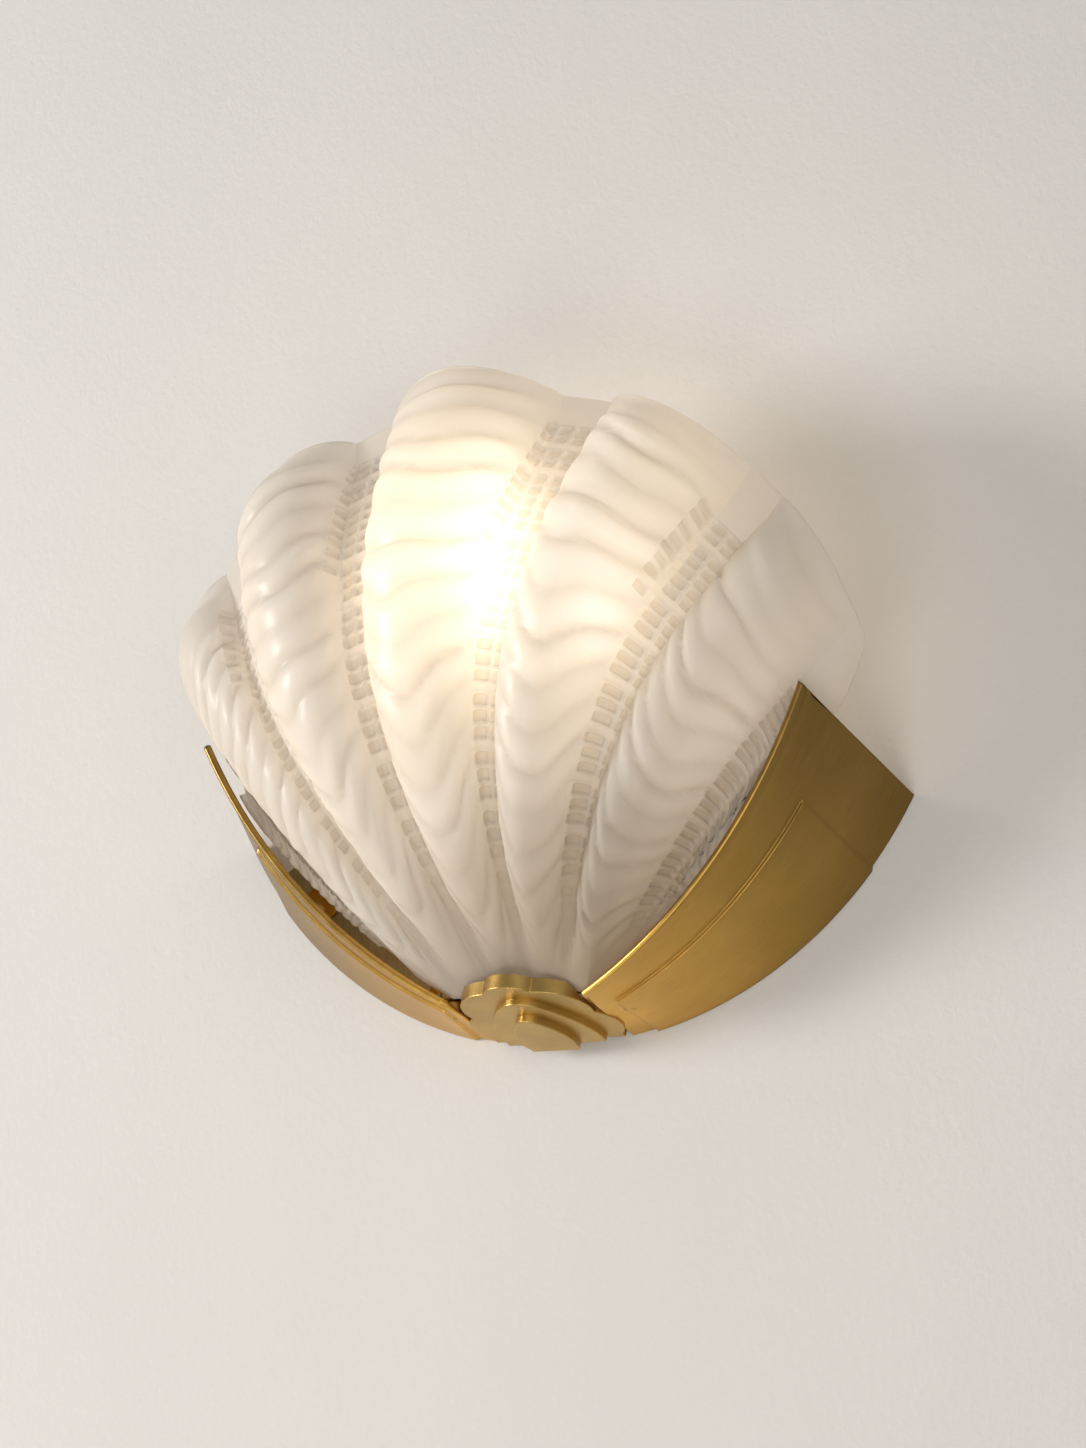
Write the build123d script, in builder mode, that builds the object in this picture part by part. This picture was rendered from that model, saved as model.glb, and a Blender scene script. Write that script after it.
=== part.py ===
"""Shell wall sconce: a fluted frosted-glass shell standing in a brass cradle.

Millimetres, +Z up, the wall is the plane y = 0 and the light stands out towards -Y.
The origin is the middle of the line between the two wall fixings.
"""
from build123d import *
from math import cos, radians, sin, sqrt
import os

os.makedirs("parts", exist_ok=True)

# ---------------------------------------------------------------- driving dimensions
floor_z = -100.0               # lowest edge of the cradle, under the wall fixings
plate_thickness = 2.0
fixing_spacing = 120.0
fixing_hole_radius = 2.75

# cradle arms: each is a sheet ruled between an arc on the wall and a leaning front arc
rear_arc_radius = 196.0
rear_tip_angle = 61.3          # from straight down, about the middle of the rear arc
front_arc_x, front_arc_height = -87.4, 246.5   # its centre, for the right arm
front_arc_radius = 261.5
front_tip_x = 151.2
front_depth = 46.0             # front edge off the wall, on the centre line
front_depth_per_x = 0.148
front_depth_per_z = 0.042
arm_root_x = 14.0              # both arms end here, over the cap
sheet = 1.8
bead_radius = 1.8
panel_rise = 1.5               # raised field on the outside of each arm
panel_depth_share = 0.68       # of the arm's depth, from the wall forward
panel_start, panel_end = 0.20, 0.865   # along the arm

# fixing tabs of the arms, by their angle round the rear arc
tab_angles = (20.0, 47.0)
tab_size = 18.0
tab_thickness = 1.6
screw_radius = 1.9

# cap under the cradle: three plates stacked on a plane that rises to the front
cap_tilt = 16.5
cap_back_y = -8.0
cap_back_height = 3.0
cap_back_reach = 3.0           # the cap runs on towards the wall by this
cap_plate = 7.0
cap_middle = 3.2
cap_boss = 3.4

# clamp bar over the cap
boss_x, boss_y = 45.0, -24.0
boss_radius = 4.5
clamp_height = 21.0
clamp_thickness = 3.0
stud_radius = 2.4

# glass shell: radial profiles fanned about a point below the cradle
fan_drop = 27.0
fan_step = 21.2                # degrees from the middle flute to the next one
fan_closing = 1.68             # the flutes get narrower to the sides by this
side_turn = 2.5                # past this flute number the shell turns back to the wall
side_turn_closing = 10.3       # degrees per flute number beyond it
side_turn_depth = 27.0
side_turn_foot = 0.3           # share of that turn at the foot
fan_edge = 2.8                 # the shell ends between flute 2 and flute 3
rim_radius = 311.0
rim_radius_fall = 9.0          # times the flute number squared
rim_shoulder = 73.0            # the rim drops by this at its two ends
rim_depth = 84.0
rim_depth_fall = 4.2
foot_height = 18.5             # flat foot over the cap, above the cradle's floor
foot_gap = 3.5                 # glass foot to the outside of the cradle arm
foot_setback = 5.5             # glass foot behind the cradle's front edge
foot_setback_middle = 3.0      # and further over the cap
glass_wall = 4.5
flute_depth = 25.0             # at 235 mm from the fan centre
valley_share = 0.16            # part of a flute's width that is flat valley
foot_fade = 0.14               # the flutes grow over this share of the height

# lamp
lamp_y = -64.0
bracket_height = 105.0
bracket_width = 24.0
holder_radius = 14.0
nipple_radius, nipple_bore = 5.0, 3.6
lead_radius = 1.1


def write(piece, name):
    """Label a finished piece and write it as one STEP file."""
    piece.part.label = name
    export_step(piece.part, f"parts/{name}.step")


def smooth(t):
    """0 below 0, 1 above 1, with a level start and end."""
    t = min(max(t, 0.0), 1.0)
    return t * t * (3 - 2 * t)


# ---------------------------------------------------------------- cradle geometry
def rear_point(x):
    """Point of the right arm's wall-side arc, by its distance from the centre line."""
    return Vector(x, 0, floor_z + rear_arc_radius - sqrt(rear_arc_radius ** 2 - x ** 2))


def front_point(x):
    """Point of the right arm's front arc, by its distance from the centre line."""
    height = front_arc_height - sqrt(front_arc_radius ** 2 - (x - front_arc_x) ** 2)
    depth = front_depth + front_depth_per_x * x + front_depth_per_z * height
    return Vector(x, -depth, floor_z + height)


rear_tip_x = rear_arc_radius * sin(radians(rear_tip_angle))


def arm_point(along, across, side=1):
    """Point of an arm's outer face: along 0 to 1 up the arm, across 0 (wall) to 1."""
    rear = rear_point(arm_root_x + (rear_tip_x - arm_root_x) * along)
    front = front_point(arm_root_x + (front_tip_x - arm_root_x) * along)
    point = rear + (front - rear) * across
    return Vector(side * point.X, point.Y, point.Z)


def arm_frame(along, side):
    """Section plane of an arm: x from the wall to the front edge, y outward; with its length."""
    rear, front = arm_point(along, 0, side), arm_point(along, 1, side)
    before, after = arm_point(along - 0.01, 0.5, side), arm_point(along + 0.01, 0.5, side)
    across = (front - rear).normalized()
    out = across.cross(after - before).normalized()
    if out.dot((rear + front) * 0.5 - Vector(0, -30, floor_z + rear_arc_radius)) < 0:
        out = out * -1
    return Plane(origin=rear, x_dir=across, z_dir=across.cross(out)), (front - rear).length


def wall_corner(frame, height):
    """Corner of a section at this height over the arm's outer face, on the wall."""
    return (-height * frame.y_dir.Y / frame.x_dir.Y, height)


def arm_strip(first, last, back, fore, low, high, side, spans):
    """Closed strip along an arm, between two shares of its depth and two heights."""
    with BuildPart() as strip:
        for i in range(spans + 1):
            frame, length = arm_frame(first + (last - first) * i / spans, side)
            low_rear = (back * length, low) if back else wall_corner(frame, low)
            high_rear = (back * length, high) if back else wall_corner(frame, high)
            with BuildSketch(frame):
                Polygon(low_rear, (fore * length, low), (fore * length, high), high_rear, align=None)
        loft(ruled=True)
    return strip.part


def tab_plane(angle):
    """Plane on the wall plate in the middle of a fixing tab, x round the arc."""
    reach = rear_arc_radius - sheet - tab_size / 2 - 1
    x = reach * sin(radians(angle))
    z = floor_z + rear_arc_radius - reach * cos(radians(angle))
    along = (cos(radians(angle)), 0, sin(radians(angle)))
    return Plane(origin=(x, -plate_thickness, z), x_dir=along, z_dir=(0, -1, 0))


tilt = radians(cap_tilt)
cap_plane = Plane(origin=(0, cap_back_y, floor_z + cap_back_height), x_dir=(1, 0, 0),
                  z_dir=(0, -sin(tilt), -cos(tilt)))
sides = {"right": 1, "left": -1}

# half outline of the cap on its plane: tips between the lobes, and how far each lobe bulges
cap_tips = ((33.0, 0.0), (31.0, 26.0), (12.0, 52.0))
cap_bulges = ((37.5, 13.0), (27.0, 44.5))
cap_front = 58.5
with BuildSketch() as cap_outline:
    with BuildLine():
        for side in (1, -1):
            tips = [(side * x, y) for x, y in cap_tips]
            bulges = [(side * x, y) for x, y in cap_bulges]
            ThreePointArc(tips[0], bulges[0], tips[1])
            ThreePointArc(tips[1], bulges[1], tips[2])
        ThreePointArc((12, 52), (0, cap_front), (-12, 52))
        Polyline((-33, 0), (-33, -cap_back_reach), (33, -cap_back_reach), (33, 0))
    make_face()
    fillet(vertices().filter_by(lambda v: 20 < v.Y < 55), 1.5)

arm_steps = [0, 0.065, 0.13, panel_start - 0.006]
arm_steps += [panel_start + (panel_end - panel_start) * i / 12 for i in range(13)]
arm_steps += [panel_end + 0.006, 0.93, 1]
bead_drop = 0.5                # bead's middle under the arm's outer face

for hand, side in sides.items():
    room = arm_strip(0, 1, 0, 1, -30, -sheet / 2, side, 16)
    with BuildPart() as lugs:
        for angle in tab_angles:
            with BuildSketch(tab_plane(side * angle)):
                Rectangle(tab_size, tab_size + 4)
            extrude(amount=tab_thickness)
        with BuildSketch(Plane.XY.offset(floor_z + clamp_height)):
            with Locations((side * boss_x, boss_y)):
                Circle(boss_radius)
        extrude(amount=-12)
        add(room, mode=Mode.INTERSECT)
        for angle in tab_angles:
            with BuildSketch(tab_plane(side * angle)):
                Circle(screw_radius + 0.2)
            extrude(amount=2 * tab_thickness, mode=Mode.SUBTRACT)
    with BuildPart() as arm:
        for along in arm_steps:
            frame, length = arm_frame(along, side)
            rise = panel_rise if panel_start <= along <= panel_end else 0
            step = panel_depth_share * length
            with BuildSketch(frame):
                with BuildLine():
                    Polyline(wall_corner(frame, -sheet), wall_corner(frame, rise), (step, rise),
                             (step + 0.3, 0), (length - sqrt(bead_radius ** 2 - bead_drop ** 2), 0))
                    ThreePointArc((length - sqrt(bead_radius ** 2 - bead_drop ** 2), 0),
                                  (length + bead_radius, -bead_drop),
                                  (length - sqrt(bead_radius ** 2 - (sheet - bead_drop) ** 2), -sheet))
                    Line((length - sqrt(bead_radius ** 2 - (sheet - bead_drop) ** 2), -sheet),
                         wall_corner(frame, -sheet))
                make_face()
        loft(ruled=True)
        add(lugs.part)
        with BuildSketch(Plane.XY.offset(floor_z + clamp_height)):
            with Locations((side * boss_x, boss_y)):
                Circle(screw_radius + 0.05)
        extrude(amount=-9, mode=Mode.SUBTRACT)
        with BuildSketch(cap_plane):
            with Locations((0, 25)):
                Rectangle(90, 80)
        extrude(amount=20, mode=Mode.SUBTRACT)
        with BuildSketch(cap_plane):
            add(cap_outline.sketch)
            with Locations((0, -15)):
                Rectangle(66.2, 24)
            offset(amount=0.05)
        extrude(amount=-30, mode=Mode.SUBTRACT)
    write(arm, f"{hand}_arm")


# ---------------------------------------------------------------- glass shell
def foot_radius_at(angle):
    """Fan centre to the glass foot: level over the cap, along the cradle's arc beyond it."""
    level = (foot_height + fan_drop) / cos(angle)
    centre_x, centre_z = front_arc_x, front_arc_height + fan_drop
    reach = front_arc_radius - foot_gap
    half = centre_z * cos(angle) + centre_x * sin(angle)
    on_arc = half - sqrt(half ** 2 - centre_x ** 2 - centre_z ** 2 + reach ** 2)
    return max(level, on_arc)


def fan_angle(flute):
    """Angle of a flute number about the fan centre, in radians."""
    k = abs(flute)
    turned = min(k, side_turn)
    angle = radians(fan_step * turned - fan_closing * turned ** 2 + side_turn_closing * (k - turned))
    return angle if flute > 0 else -angle


def glass_base(flute, s):
    """Radius and depth of the smooth shell behind the flutes, s from 0 (foot) to 1 (rim)."""
    k = abs(flute)
    angle = fan_angle(k)
    side = (k / fan_edge) ** 3
    rim_r = rim_radius - rim_radius_fall * k ** 2 - rim_shoulder * min(max((k - 2.5) / 0.3, 0), 1) ** 2
    turn = side_turn_depth * smooth((k - side_turn + 0.1) / (fan_edge - side_turn + 0.2))
    rim_d = rim_depth - rim_depth_fall * k ** 2 - turn
    foot_r = foot_radius_at(angle)
    foot_x, foot_z = foot_r * sin(angle), foot_r * cos(angle) - fan_drop
    foot_d = front_depth + front_depth_per_x * foot_x + front_depth_per_z * foot_z
    foot_d -= foot_setback + foot_setback_middle * (1 - smooth(k - 1)) + side_turn_foot * turn
    length = rim_r - foot_r
    leave, reach = radians(50 * (1 - side)), radians(14 - 5 * side)
    first, second = (0.84 - 0.50 * side) * length, (0.16 + 0.17 * side) * length
    r = (foot_r, foot_r + first * cos(leave), rim_r - second * cos(reach), rim_r)
    d = (foot_d, foot_d + first * sin(leave), rim_d + second * sin(reach), rim_d)
    w = ((1 - s) ** 3, 3 * s * (1 - s) ** 2, 3 * s ** 2 * (1 - s), s ** 3)
    return sum(a * b for a, b in zip(w, r)), sum(a * b for a, b in zip(w, d))


def glass_point(flute, s, inside):
    """Radius and depth on the outer or inner face of the fluted shell."""
    r, d = glass_base(flute, s)
    r2, d2 = glass_base(flute, s + 0.001)
    step = sqrt((r2 - r) ** 2 + (d2 - d) ** 2)
    along_r, along_d = (r2 - r) / step, (d2 - d) / step
    k = abs(flute)
    width = r * radians(fan_step - 2 * fan_closing * k)
    share = valley_share + (min(2.4 * glass_wall / width, 0.6) if inside else 0)
    across = min(2 * abs(flute - round(flute)) / (1 - share), 1)
    height = flute_depth * (max(r - 15, 1) / 220) ** 0.75 * (1 - across ** 2) ** 0.6
    height *= smooth(s / foot_fade) * (1 - smooth((k - 2.5) / 0.3))
    height *= 1 - smooth((s - 0.8) / 0.2) * (0.05 + 0.42 * min(k, 1.5))
    height -= glass_wall if inside else 0
    return r - height * along_d, d + height * along_r


flute_steps = (-1, -0.96, -0.82, -0.58, -0.3, 0, 0.3, 0.58, 0.82, 0.96)
stations = [number + (1 - valley_share) / 2 * step for number in range(-2, 3) for step in flute_steps]
stations += [2.42, 2.56, 2.65, 2.73, fan_edge]
stations = [-fan_edge, -2.73, -2.65, -2.56] + stations
heights = (0, 0.07, 0.15, 0.27, 0.4, 0.53, 0.66, 0.78, 0.88, 1)

with BuildPart() as glass_shade:
    for station in stations:
        angle = fan_angle(station)
        frame = Plane(origin=(0, 0, floor_z - fan_drop), x_dir=(sin(angle), 0, cos(angle)),
                      z_dir=(cos(angle), 0, -sin(angle)))
        outer = [glass_point(station, s, False) for s in heights]
        inner = [glass_point(station, s, True) for s in heights]
        with BuildSketch(frame):
            with BuildLine():
                Spline(outer)
                Line(outer[-1], inner[-1])
                Spline(inner[::-1])
                Line(inner[0], outer[0])
            make_face()
    loft(ruled=True)
write(glass_shade, "glass_shade")


# ---------------------------------------------------------------- wall plate
ring_reach = rear_arc_radius - sheet - 1.6
column_half, crossbar_half = 22.0, 14.0
cable_height = 62.0
cable_hole_radius = 7.0
block_height, block_size = 40.0, (30.0, 15.0, 14.0)
earth_x, earth_height = 14.0, 72.0
bracket_screw_heights = (84.0, 97.0)

wall_face = Plane(origin=(0, 0, 0), x_dir=(1, 0, 0), z_dir=(0, -1, 0))
with BuildPart() as wall_plate:
    with BuildSketch(wall_face):
        with BuildLine():
            CenterArc((0, floor_z + rear_arc_radius), ring_reach, 270 - 55, 110)
            CenterArc((0, floor_z + rear_arc_radius), ring_reach - 20, 270 - 55, 110)
            for angle in (215, 325):
                unit = Vector(cos(radians(angle)), sin(radians(angle)))
                middle = Vector(0, floor_z + rear_arc_radius)
                Line(middle + unit * (ring_reach - 20), middle + unit * ring_reach)
        make_face()
        with Locations((0, (floor_z + 12 + crossbar_half) / 2)):
            Rectangle(2 * column_half, crossbar_half - floor_z - 12)
        Rectangle(fixing_spacing + 24, 2 * crossbar_half)
        with Locations((-fixing_spacing / 2, 0), (fixing_spacing / 2, 0)):
            Circle(fixing_hole_radius, mode=Mode.SUBTRACT)
        with Locations((0, floor_z + cable_height)):
            Circle(cable_hole_radius, mode=Mode.SUBTRACT)
        with Locations(*[(0, floor_z + height) for height in bracket_screw_heights]):
            Circle(screw_radius + 0.05, mode=Mode.SUBTRACT)
        with Locations((earth_x, floor_z + earth_height)):
            Circle(screw_radius + 0.05, mode=Mode.SUBTRACT)
        for side in sides.values():
            for angle in tab_angles:
                hole = tab_plane(side * angle).origin
                with Locations((hole.X, hole.Z)):
                    Circle(screw_radius + 0.05, mode=Mode.SUBTRACT)
    extrude(amount=plate_thickness)
    fillet(wall_plate.edges().filter_by(Axis.Y).filter_by(lambda e: e.length < 3).group_by(Axis.X)[0], 1)
write(wall_plate, "wall_plate")

with BuildPart() as cable_grommet:
    with BuildSketch(Plane(origin=(0, 0, floor_z + cable_height), x_dir=(1, 0, 0), z_dir=(0, -1, 0))):
        Circle(cable_hole_radius)
        Circle(cable_hole_radius - 2, mode=Mode.SUBTRACT)
    extrude(amount=plate_thickness + 1.5)
    with BuildSketch(Plane(origin=(0, -plate_thickness, floor_z + cable_height), x_dir=(1, 0, 0),
                           z_dir=(0, -1, 0))):
        Circle(cable_hole_radius + 2)
        Circle(cable_hole_radius - 2, mode=Mode.SUBTRACT)
    extrude(amount=1.5)
write(cable_grommet, "cable_grommet")


# ---------------------------------------------------------------- screws
def screw(length):
    """Pan-head screw: its head stands on the plane z = 0 and its shank points down."""
    with BuildPart() as blank:
        with BuildSketch():
            Circle(screw_radius)
        extrude(amount=-length)
        with BuildSketch():
            Circle(2 * screw_radius)
        extrude(amount=2.2)
        with BuildSketch(Plane.XY.offset(2.2)):
            Rectangle(0.8, 3)
            Rectangle(3, 0.8)
        extrude(amount=-1, mode=Mode.SUBTRACT)
    return blank.part


def write_screws(name, length, planes):
    """Write a set of like screws, one on each plane, as one node."""
    blank = screw(length)
    with BuildPart() as screws:
        for plane in planes:
            add(blank.moved(plane.location))
    write(screws, name)


tab_tops = [tab_plane(side * angle).offset(tab_thickness) for side in sides.values() for angle in tab_angles]
write_screws("arm_screws", tab_thickness + plate_thickness - 0.3, tab_tops)

# ---------------------------------------------------------------- cap under the cradle
cap_down = Axis(cap_plane.origin, cap_plane.z_dir)

with BuildPart() as cap_scallop_plate:
    with BuildSketch(cap_plane):
        add(cap_outline.sketch)
    extrude(amount=-cap_plate)
    fillet(faces().sort_by(cap_down)[-1].edges().filter_by(GeomType.CIRCLE), 0.6)
    # pocket for the glass foot, with a front wall that leans with the glass
    with BuildSketch(Plane.YZ.offset(-40)):
        Polygon((-32, floor_z + 12.2), (-43.8, floor_z + 15.6), (-53, floor_z + 26), (-54.5, floor_z + 60),
                (-32, floor_z + 60), align=None)
    extrude(amount=80, mode=Mode.SUBTRACT)
    with BuildSketch(Plane.XY.offset(floor_z + 30)):
        with Locations((0, boss_y)):
            Circle(stud_radius + 0.05)
    extrude(amount=-40, mode=Mode.SUBTRACT)
write(cap_scallop_plate, "cap_scallop_plate")

with BuildPart() as cap_middle_step:
    with BuildSketch(cap_plane):
        with BuildLine():
            Spline((25, 0), (22.5, 20), (0, 46.5), (-22.5, 20), (-25, 0),
                   tangents=((0.05, 1), (-0.05, -1)))
            Line((-25, 0), (25, 0))
        make_face()
    extrude(amount=cap_middle)
    fillet(faces().sort_by(cap_down)[-1].edges().filter_by(GeomType.BSPLINE), 0.6)
    with BuildSketch(Plane.XY.offset(floor_z + 30)):
        with Locations((0, boss_y)):
            Circle(stud_radius + 0.05)
    extrude(amount=-60, mode=Mode.SUBTRACT)
write(cap_middle_step, "cap_middle_step")

with BuildPart() as cap_tongue:
    with BuildSketch(cap_plane.offset(cap_middle)):
        with BuildLine():
            Spline((12, 0), (13.5, 12), (0, 35), (-13.5, 12), (-12, 0), tangents=((0.2, 1), (0.2, -1)))
            Line((-12, 0), (12, 0))
        make_face()
    extrude(amount=cap_boss)
    fillet(faces().sort_by(cap_down)[-1].edges().filter_by(GeomType.BSPLINE), 0.6)
    with BuildSketch(Plane.XY.offset(floor_z + 30)):
        with Locations((0, boss_y)):
            Circle(stud_radius + 0.05)
    extrude(amount=-27.2, mode=Mode.SUBTRACT)
write(cap_tongue, "cap_tongue")

with BuildPart() as cap_stud:
    with BuildSketch(Plane.XY.offset(floor_z + 3.0)):
        with Locations((0, boss_y)):
            Circle(stud_radius)
    extrude(amount=28)
    chamfer(cap_stud.edges().group_by(Axis.Z)[-1], 0.4)
write(cap_stud, "cap_stud")

with BuildPart() as cap_nut:
    with BuildSketch(Plane.XY.offset(floor_z + clamp_height + clamp_thickness)):
        with Locations((0, boss_y)):
            RegularPolygon(4.6, 6)
            Circle(stud_radius + 0.05, mode=Mode.SUBTRACT)
    extrude(amount=4)
write(cap_nut, "cap_nut")

with BuildPart() as clamp_bar:
    with BuildSketch(Plane.XY.offset(floor_z + clamp_height)):
        with Locations((0, boss_y)):
            SlotOverall(2 * boss_x + 14, 11)
            Circle(stud_radius + 0.05, mode=Mode.SUBTRACT)
        with Locations((-boss_x, boss_y), (boss_x, boss_y)):
            Circle(screw_radius + 0.2, mode=Mode.SUBTRACT)
    extrude(amount=clamp_thickness)
    fillet(clamp_bar.edges().group_by(Axis.Z)[-1].filter_by(GeomType.LINE), 0.5)
write(clamp_bar, "clamp_bar")

clamp_top = floor_z + clamp_height + clamp_thickness
clamp_tops = [Plane(origin=(side * boss_x, boss_y, clamp_top)) for side in sides.values()]
write_screws("clamp_screws", clamp_thickness + 6, clamp_tops)

with BuildPart() as foot_seat:
    with BuildSketch(Plane.YZ.offset(-11)):
        Polygon((-34, floor_z + 12.8), (-42.5, floor_z + 15.25), (-42.5, floor_z + foot_height - 0.3),
                (-34, floor_z + foot_height - 0.3), align=None)
    extrude(amount=22)
write(foot_seat, "foot_seat")

# pads inside the arms, under the edges of the glass
with BuildPart() as arm_pads:
    for side in sides.values():
        for start in (0.42, 0.78):
            add(arm_strip(start, start + 0.06, 0.76, 0.86, -sheet - 1.4, -sheet - 0.2, side, 2))
write(arm_pads, "arm_pads")

# ---------------------------------------------------------------- lampholder on its bracket
bracket_z = floor_z + bracket_height
bracket_sheet = 2.0
holder_foot = bracket_z + bracket_sheet
cup_height, sleeve_height = 15.0, 32.0
holder_wall = 1.5
shell_bore = 7.05
bulb_cap_radius = 6.75
contact_z = holder_foot + 19
bulb_cap_z = contact_z + 2.4
bulb_cap_height = 22.0
envelope_z = bulb_cap_z + bulb_cap_height
envelope_radius = 17.5
envelope_height = 76.0

lamp = Plane(origin=(0, lamp_y, 0), x_dir=(1, 0, 0), z_dir=(0, 0, 1))
lamp_side = Plane(origin=(0, lamp_y, 0), x_dir=(1, 0, 0), z_dir=(0, -1, 0))
lamp_axis = Axis((0, lamp_y, 0), (0, 0, 1))

with BuildPart() as lampholder_bracket:
    with BuildSketch(Plane.YZ.offset(-bracket_width / 2)):
        with BuildLine():
            Polyline((-plate_thickness, floor_z + 79), (-plate_thickness, holder_foot),
                     (lamp_y - 14, holder_foot), (lamp_y - 14, bracket_z),
                     (-plate_thickness - bracket_sheet, bracket_z),
                     (-plate_thickness - bracket_sheet, floor_z + 79), (-plate_thickness, floor_z + 79))
        make_face()
    extrude(amount=bracket_width)
    fillet(lampholder_bracket.edges().filter_by(Axis.Z).group_by(Axis.Y)[0], 8)
    with BuildSketch(lamp.offset(holder_foot + 1)):
        Circle(nipple_radius + 0.1)
    extrude(amount=-6, mode=Mode.SUBTRACT)
    with BuildSketch(wall_face.offset(plate_thickness)):
        with Locations(*[(0, floor_z + height) for height in bracket_screw_heights]):
            Circle(screw_radius + 0.2)
    extrude(amount=4, mode=Mode.SUBTRACT)
write(lampholder_bracket, "lampholder_bracket")

bracket_faces = [Plane(origin=(0, -plate_thickness - bracket_sheet, floor_z + height), x_dir=(1, 0, 0),
                       z_dir=(0, -1, 0)) for height in bracket_screw_heights]
write_screws("bracket_screws", plate_thickness + bracket_sheet - 0.3, bracket_faces)

with BuildPart() as nipple:
    with BuildSketch(lamp.offset(bracket_z - 5)):
        Circle(nipple_radius)
        Circle(nipple_bore, mode=Mode.SUBTRACT)
    extrude(amount=5 + bracket_sheet + 5)
write(nipple, "nipple")

with BuildPart() as nipple_nut:
    with BuildSketch(lamp.offset(bracket_z)):
        RegularPolygon(8, 6)
        Circle(nipple_radius + 0.05, mode=Mode.SUBTRACT)
    extrude(amount=-3)
write(nipple_nut, "nipple_nut")

with BuildPart() as lampholder_cup:
    with BuildSketch(lamp.offset(holder_foot)):
        Circle(holder_radius)
    extrude(amount=cup_height)
    fillet(lampholder_cup.edges().group_by(Axis.Z)[0], 3)
    with BuildSketch(lamp.offset(holder_foot + 2)):
        Circle(holder_radius - holder_wall)
    extrude(amount=cup_height, mode=Mode.SUBTRACT)
    with BuildSketch(lamp.offset(holder_foot)):
        Circle(nipple_radius + 0.05)
    extrude(amount=3, mode=Mode.SUBTRACT)
write(lampholder_cup, "lampholder_cup")

with BuildPart() as lampholder_core:
    with BuildSketch(lamp.offset(holder_foot + 5.2)):
        Circle(holder_radius - holder_wall - 0.2)
        with Locations((-2, 0), (2, 0)):
            Circle(lead_radius, mode=Mode.SUBTRACT)
    extrude(amount=contact_z - 1.2 - holder_foot - 5.2)
write(lampholder_core, "lampholder_core")

with BuildPart() as lampholder_sleeve:
    with BuildSketch(lamp.offset(holder_foot + cup_height)):
        Circle(holder_radius)
        Circle(holder_radius - holder_wall, mode=Mode.SUBTRACT)
    extrude(amount=sleeve_height)
    fillet(lampholder_sleeve.edges().group_by(Axis.Z)[-1], 0.5)
write(lampholder_sleeve, "lampholder_sleeve")

with BuildPart() as screw_shell:
    with BuildSketch(lamp.offset(contact_z - 1.2)):
        Circle(holder_radius - holder_wall - 0.2)
        Circle(shell_bore, mode=Mode.SUBTRACT)
    extrude(amount=1.2)
    with BuildSketch(lamp.offset(contact_z)):
        Circle(shell_bore + 0.5)
        Circle(shell_bore, mode=Mode.SUBTRACT)
    extrude(amount=21)
write(screw_shell, "screw_shell")

with BuildPart() as centre_contact:
    with BuildSketch(lamp.offset(contact_z - 1.2)):
        Circle(3.2)
    extrude(amount=1.2)
    fillet(centre_contact.edges().group_by(Axis.Z)[-1], 0.5)
write(centre_contact, "centre_contact")

# ---------------------------------------------------------------- bulb
with BuildPart() as bulb_cap:
    with BuildSketch(lamp.offset(bulb_cap_z)):
        Circle(bulb_cap_radius)
        Circle(bulb_cap_radius - 0.4, mode=Mode.SUBTRACT)
    extrude(amount=bulb_cap_height)
write(bulb_cap, "bulb_cap")

with BuildPart() as bulb_contact:
    with BuildSketch(lamp.offset(bulb_cap_z)):
        Circle(bulb_cap_radius - 0.45)
    extrude(amount=2)
    with BuildSketch(lamp.offset(bulb_cap_z)):
        Circle(2.4)
    extrude(amount=-2)
write(bulb_contact, "bulb_contact")

envelope = ((6.2, 0.0), (11.5, 8.0), (17.0, 20.0), (17.5, 30.0), (14.5, 48.0), (8.0, 64.0), (3.0, 73.0))
with BuildPart() as bulb_envelope:
    with BuildSketch(lamp_side):
        with BuildLine():
            outer = Spline(*[(r, envelope_z + h) for r, h in envelope], (0, envelope_z + envelope_height),
                           tangents=((0.2, 1), (-1, 0)))
            Line(outer @ 1, (0, envelope_z))
            Line((0, envelope_z), (6.2, envelope_z))
        make_face()
    revolve(axis=lamp_axis)
    with BuildSketch(lamp_side):
        with BuildLine():
            inner = Spline(*[(r - 1, envelope_z + 1 + h * 0.975) for r, h in envelope],
                           (0, envelope_z + envelope_height - 1), tangents=((0.2, 1), (-1, 0)))
            Line(inner @ 1, (0, envelope_z + 1))
            Line((0, envelope_z + 1), (5.2, envelope_z + 1))
        make_face()
    revolve(axis=lamp_axis, mode=Mode.SUBTRACT)
write(bulb_envelope, "bulb_envelope")

filament_radius, filament_ring, filament_length = 0.9, 5.5, 36.0
with BuildPart() as bulb_stem:
    with BuildSketch(lamp.offset(envelope_z + 1)):
        Circle(2)
    extrude(amount=16, taper=2)
write(bulb_stem, "bulb_stem")

with BuildPart() as bulb_filaments:
    with BuildSketch(lamp.offset(envelope_z + 15)):
        Circle(7)
        Circle(2.2, mode=Mode.SUBTRACT)
    extrude(amount=0.6)
    with BuildSketch(lamp.offset(envelope_z + 15.5)):
        with PolarLocations(filament_ring, 4, start_angle=45):
            Circle(filament_radius)
    extrude(amount=filament_length)
write(bulb_filaments, "bulb_filaments")

# ---------------------------------------------------------------- wiring
block_x, block_y, block_z = block_size
block_front = -plate_thickness - block_y
block_floor = floor_z + block_height - block_z / 2
lead_columns = {"live": 9.0, "neutral": -9.0}

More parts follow.
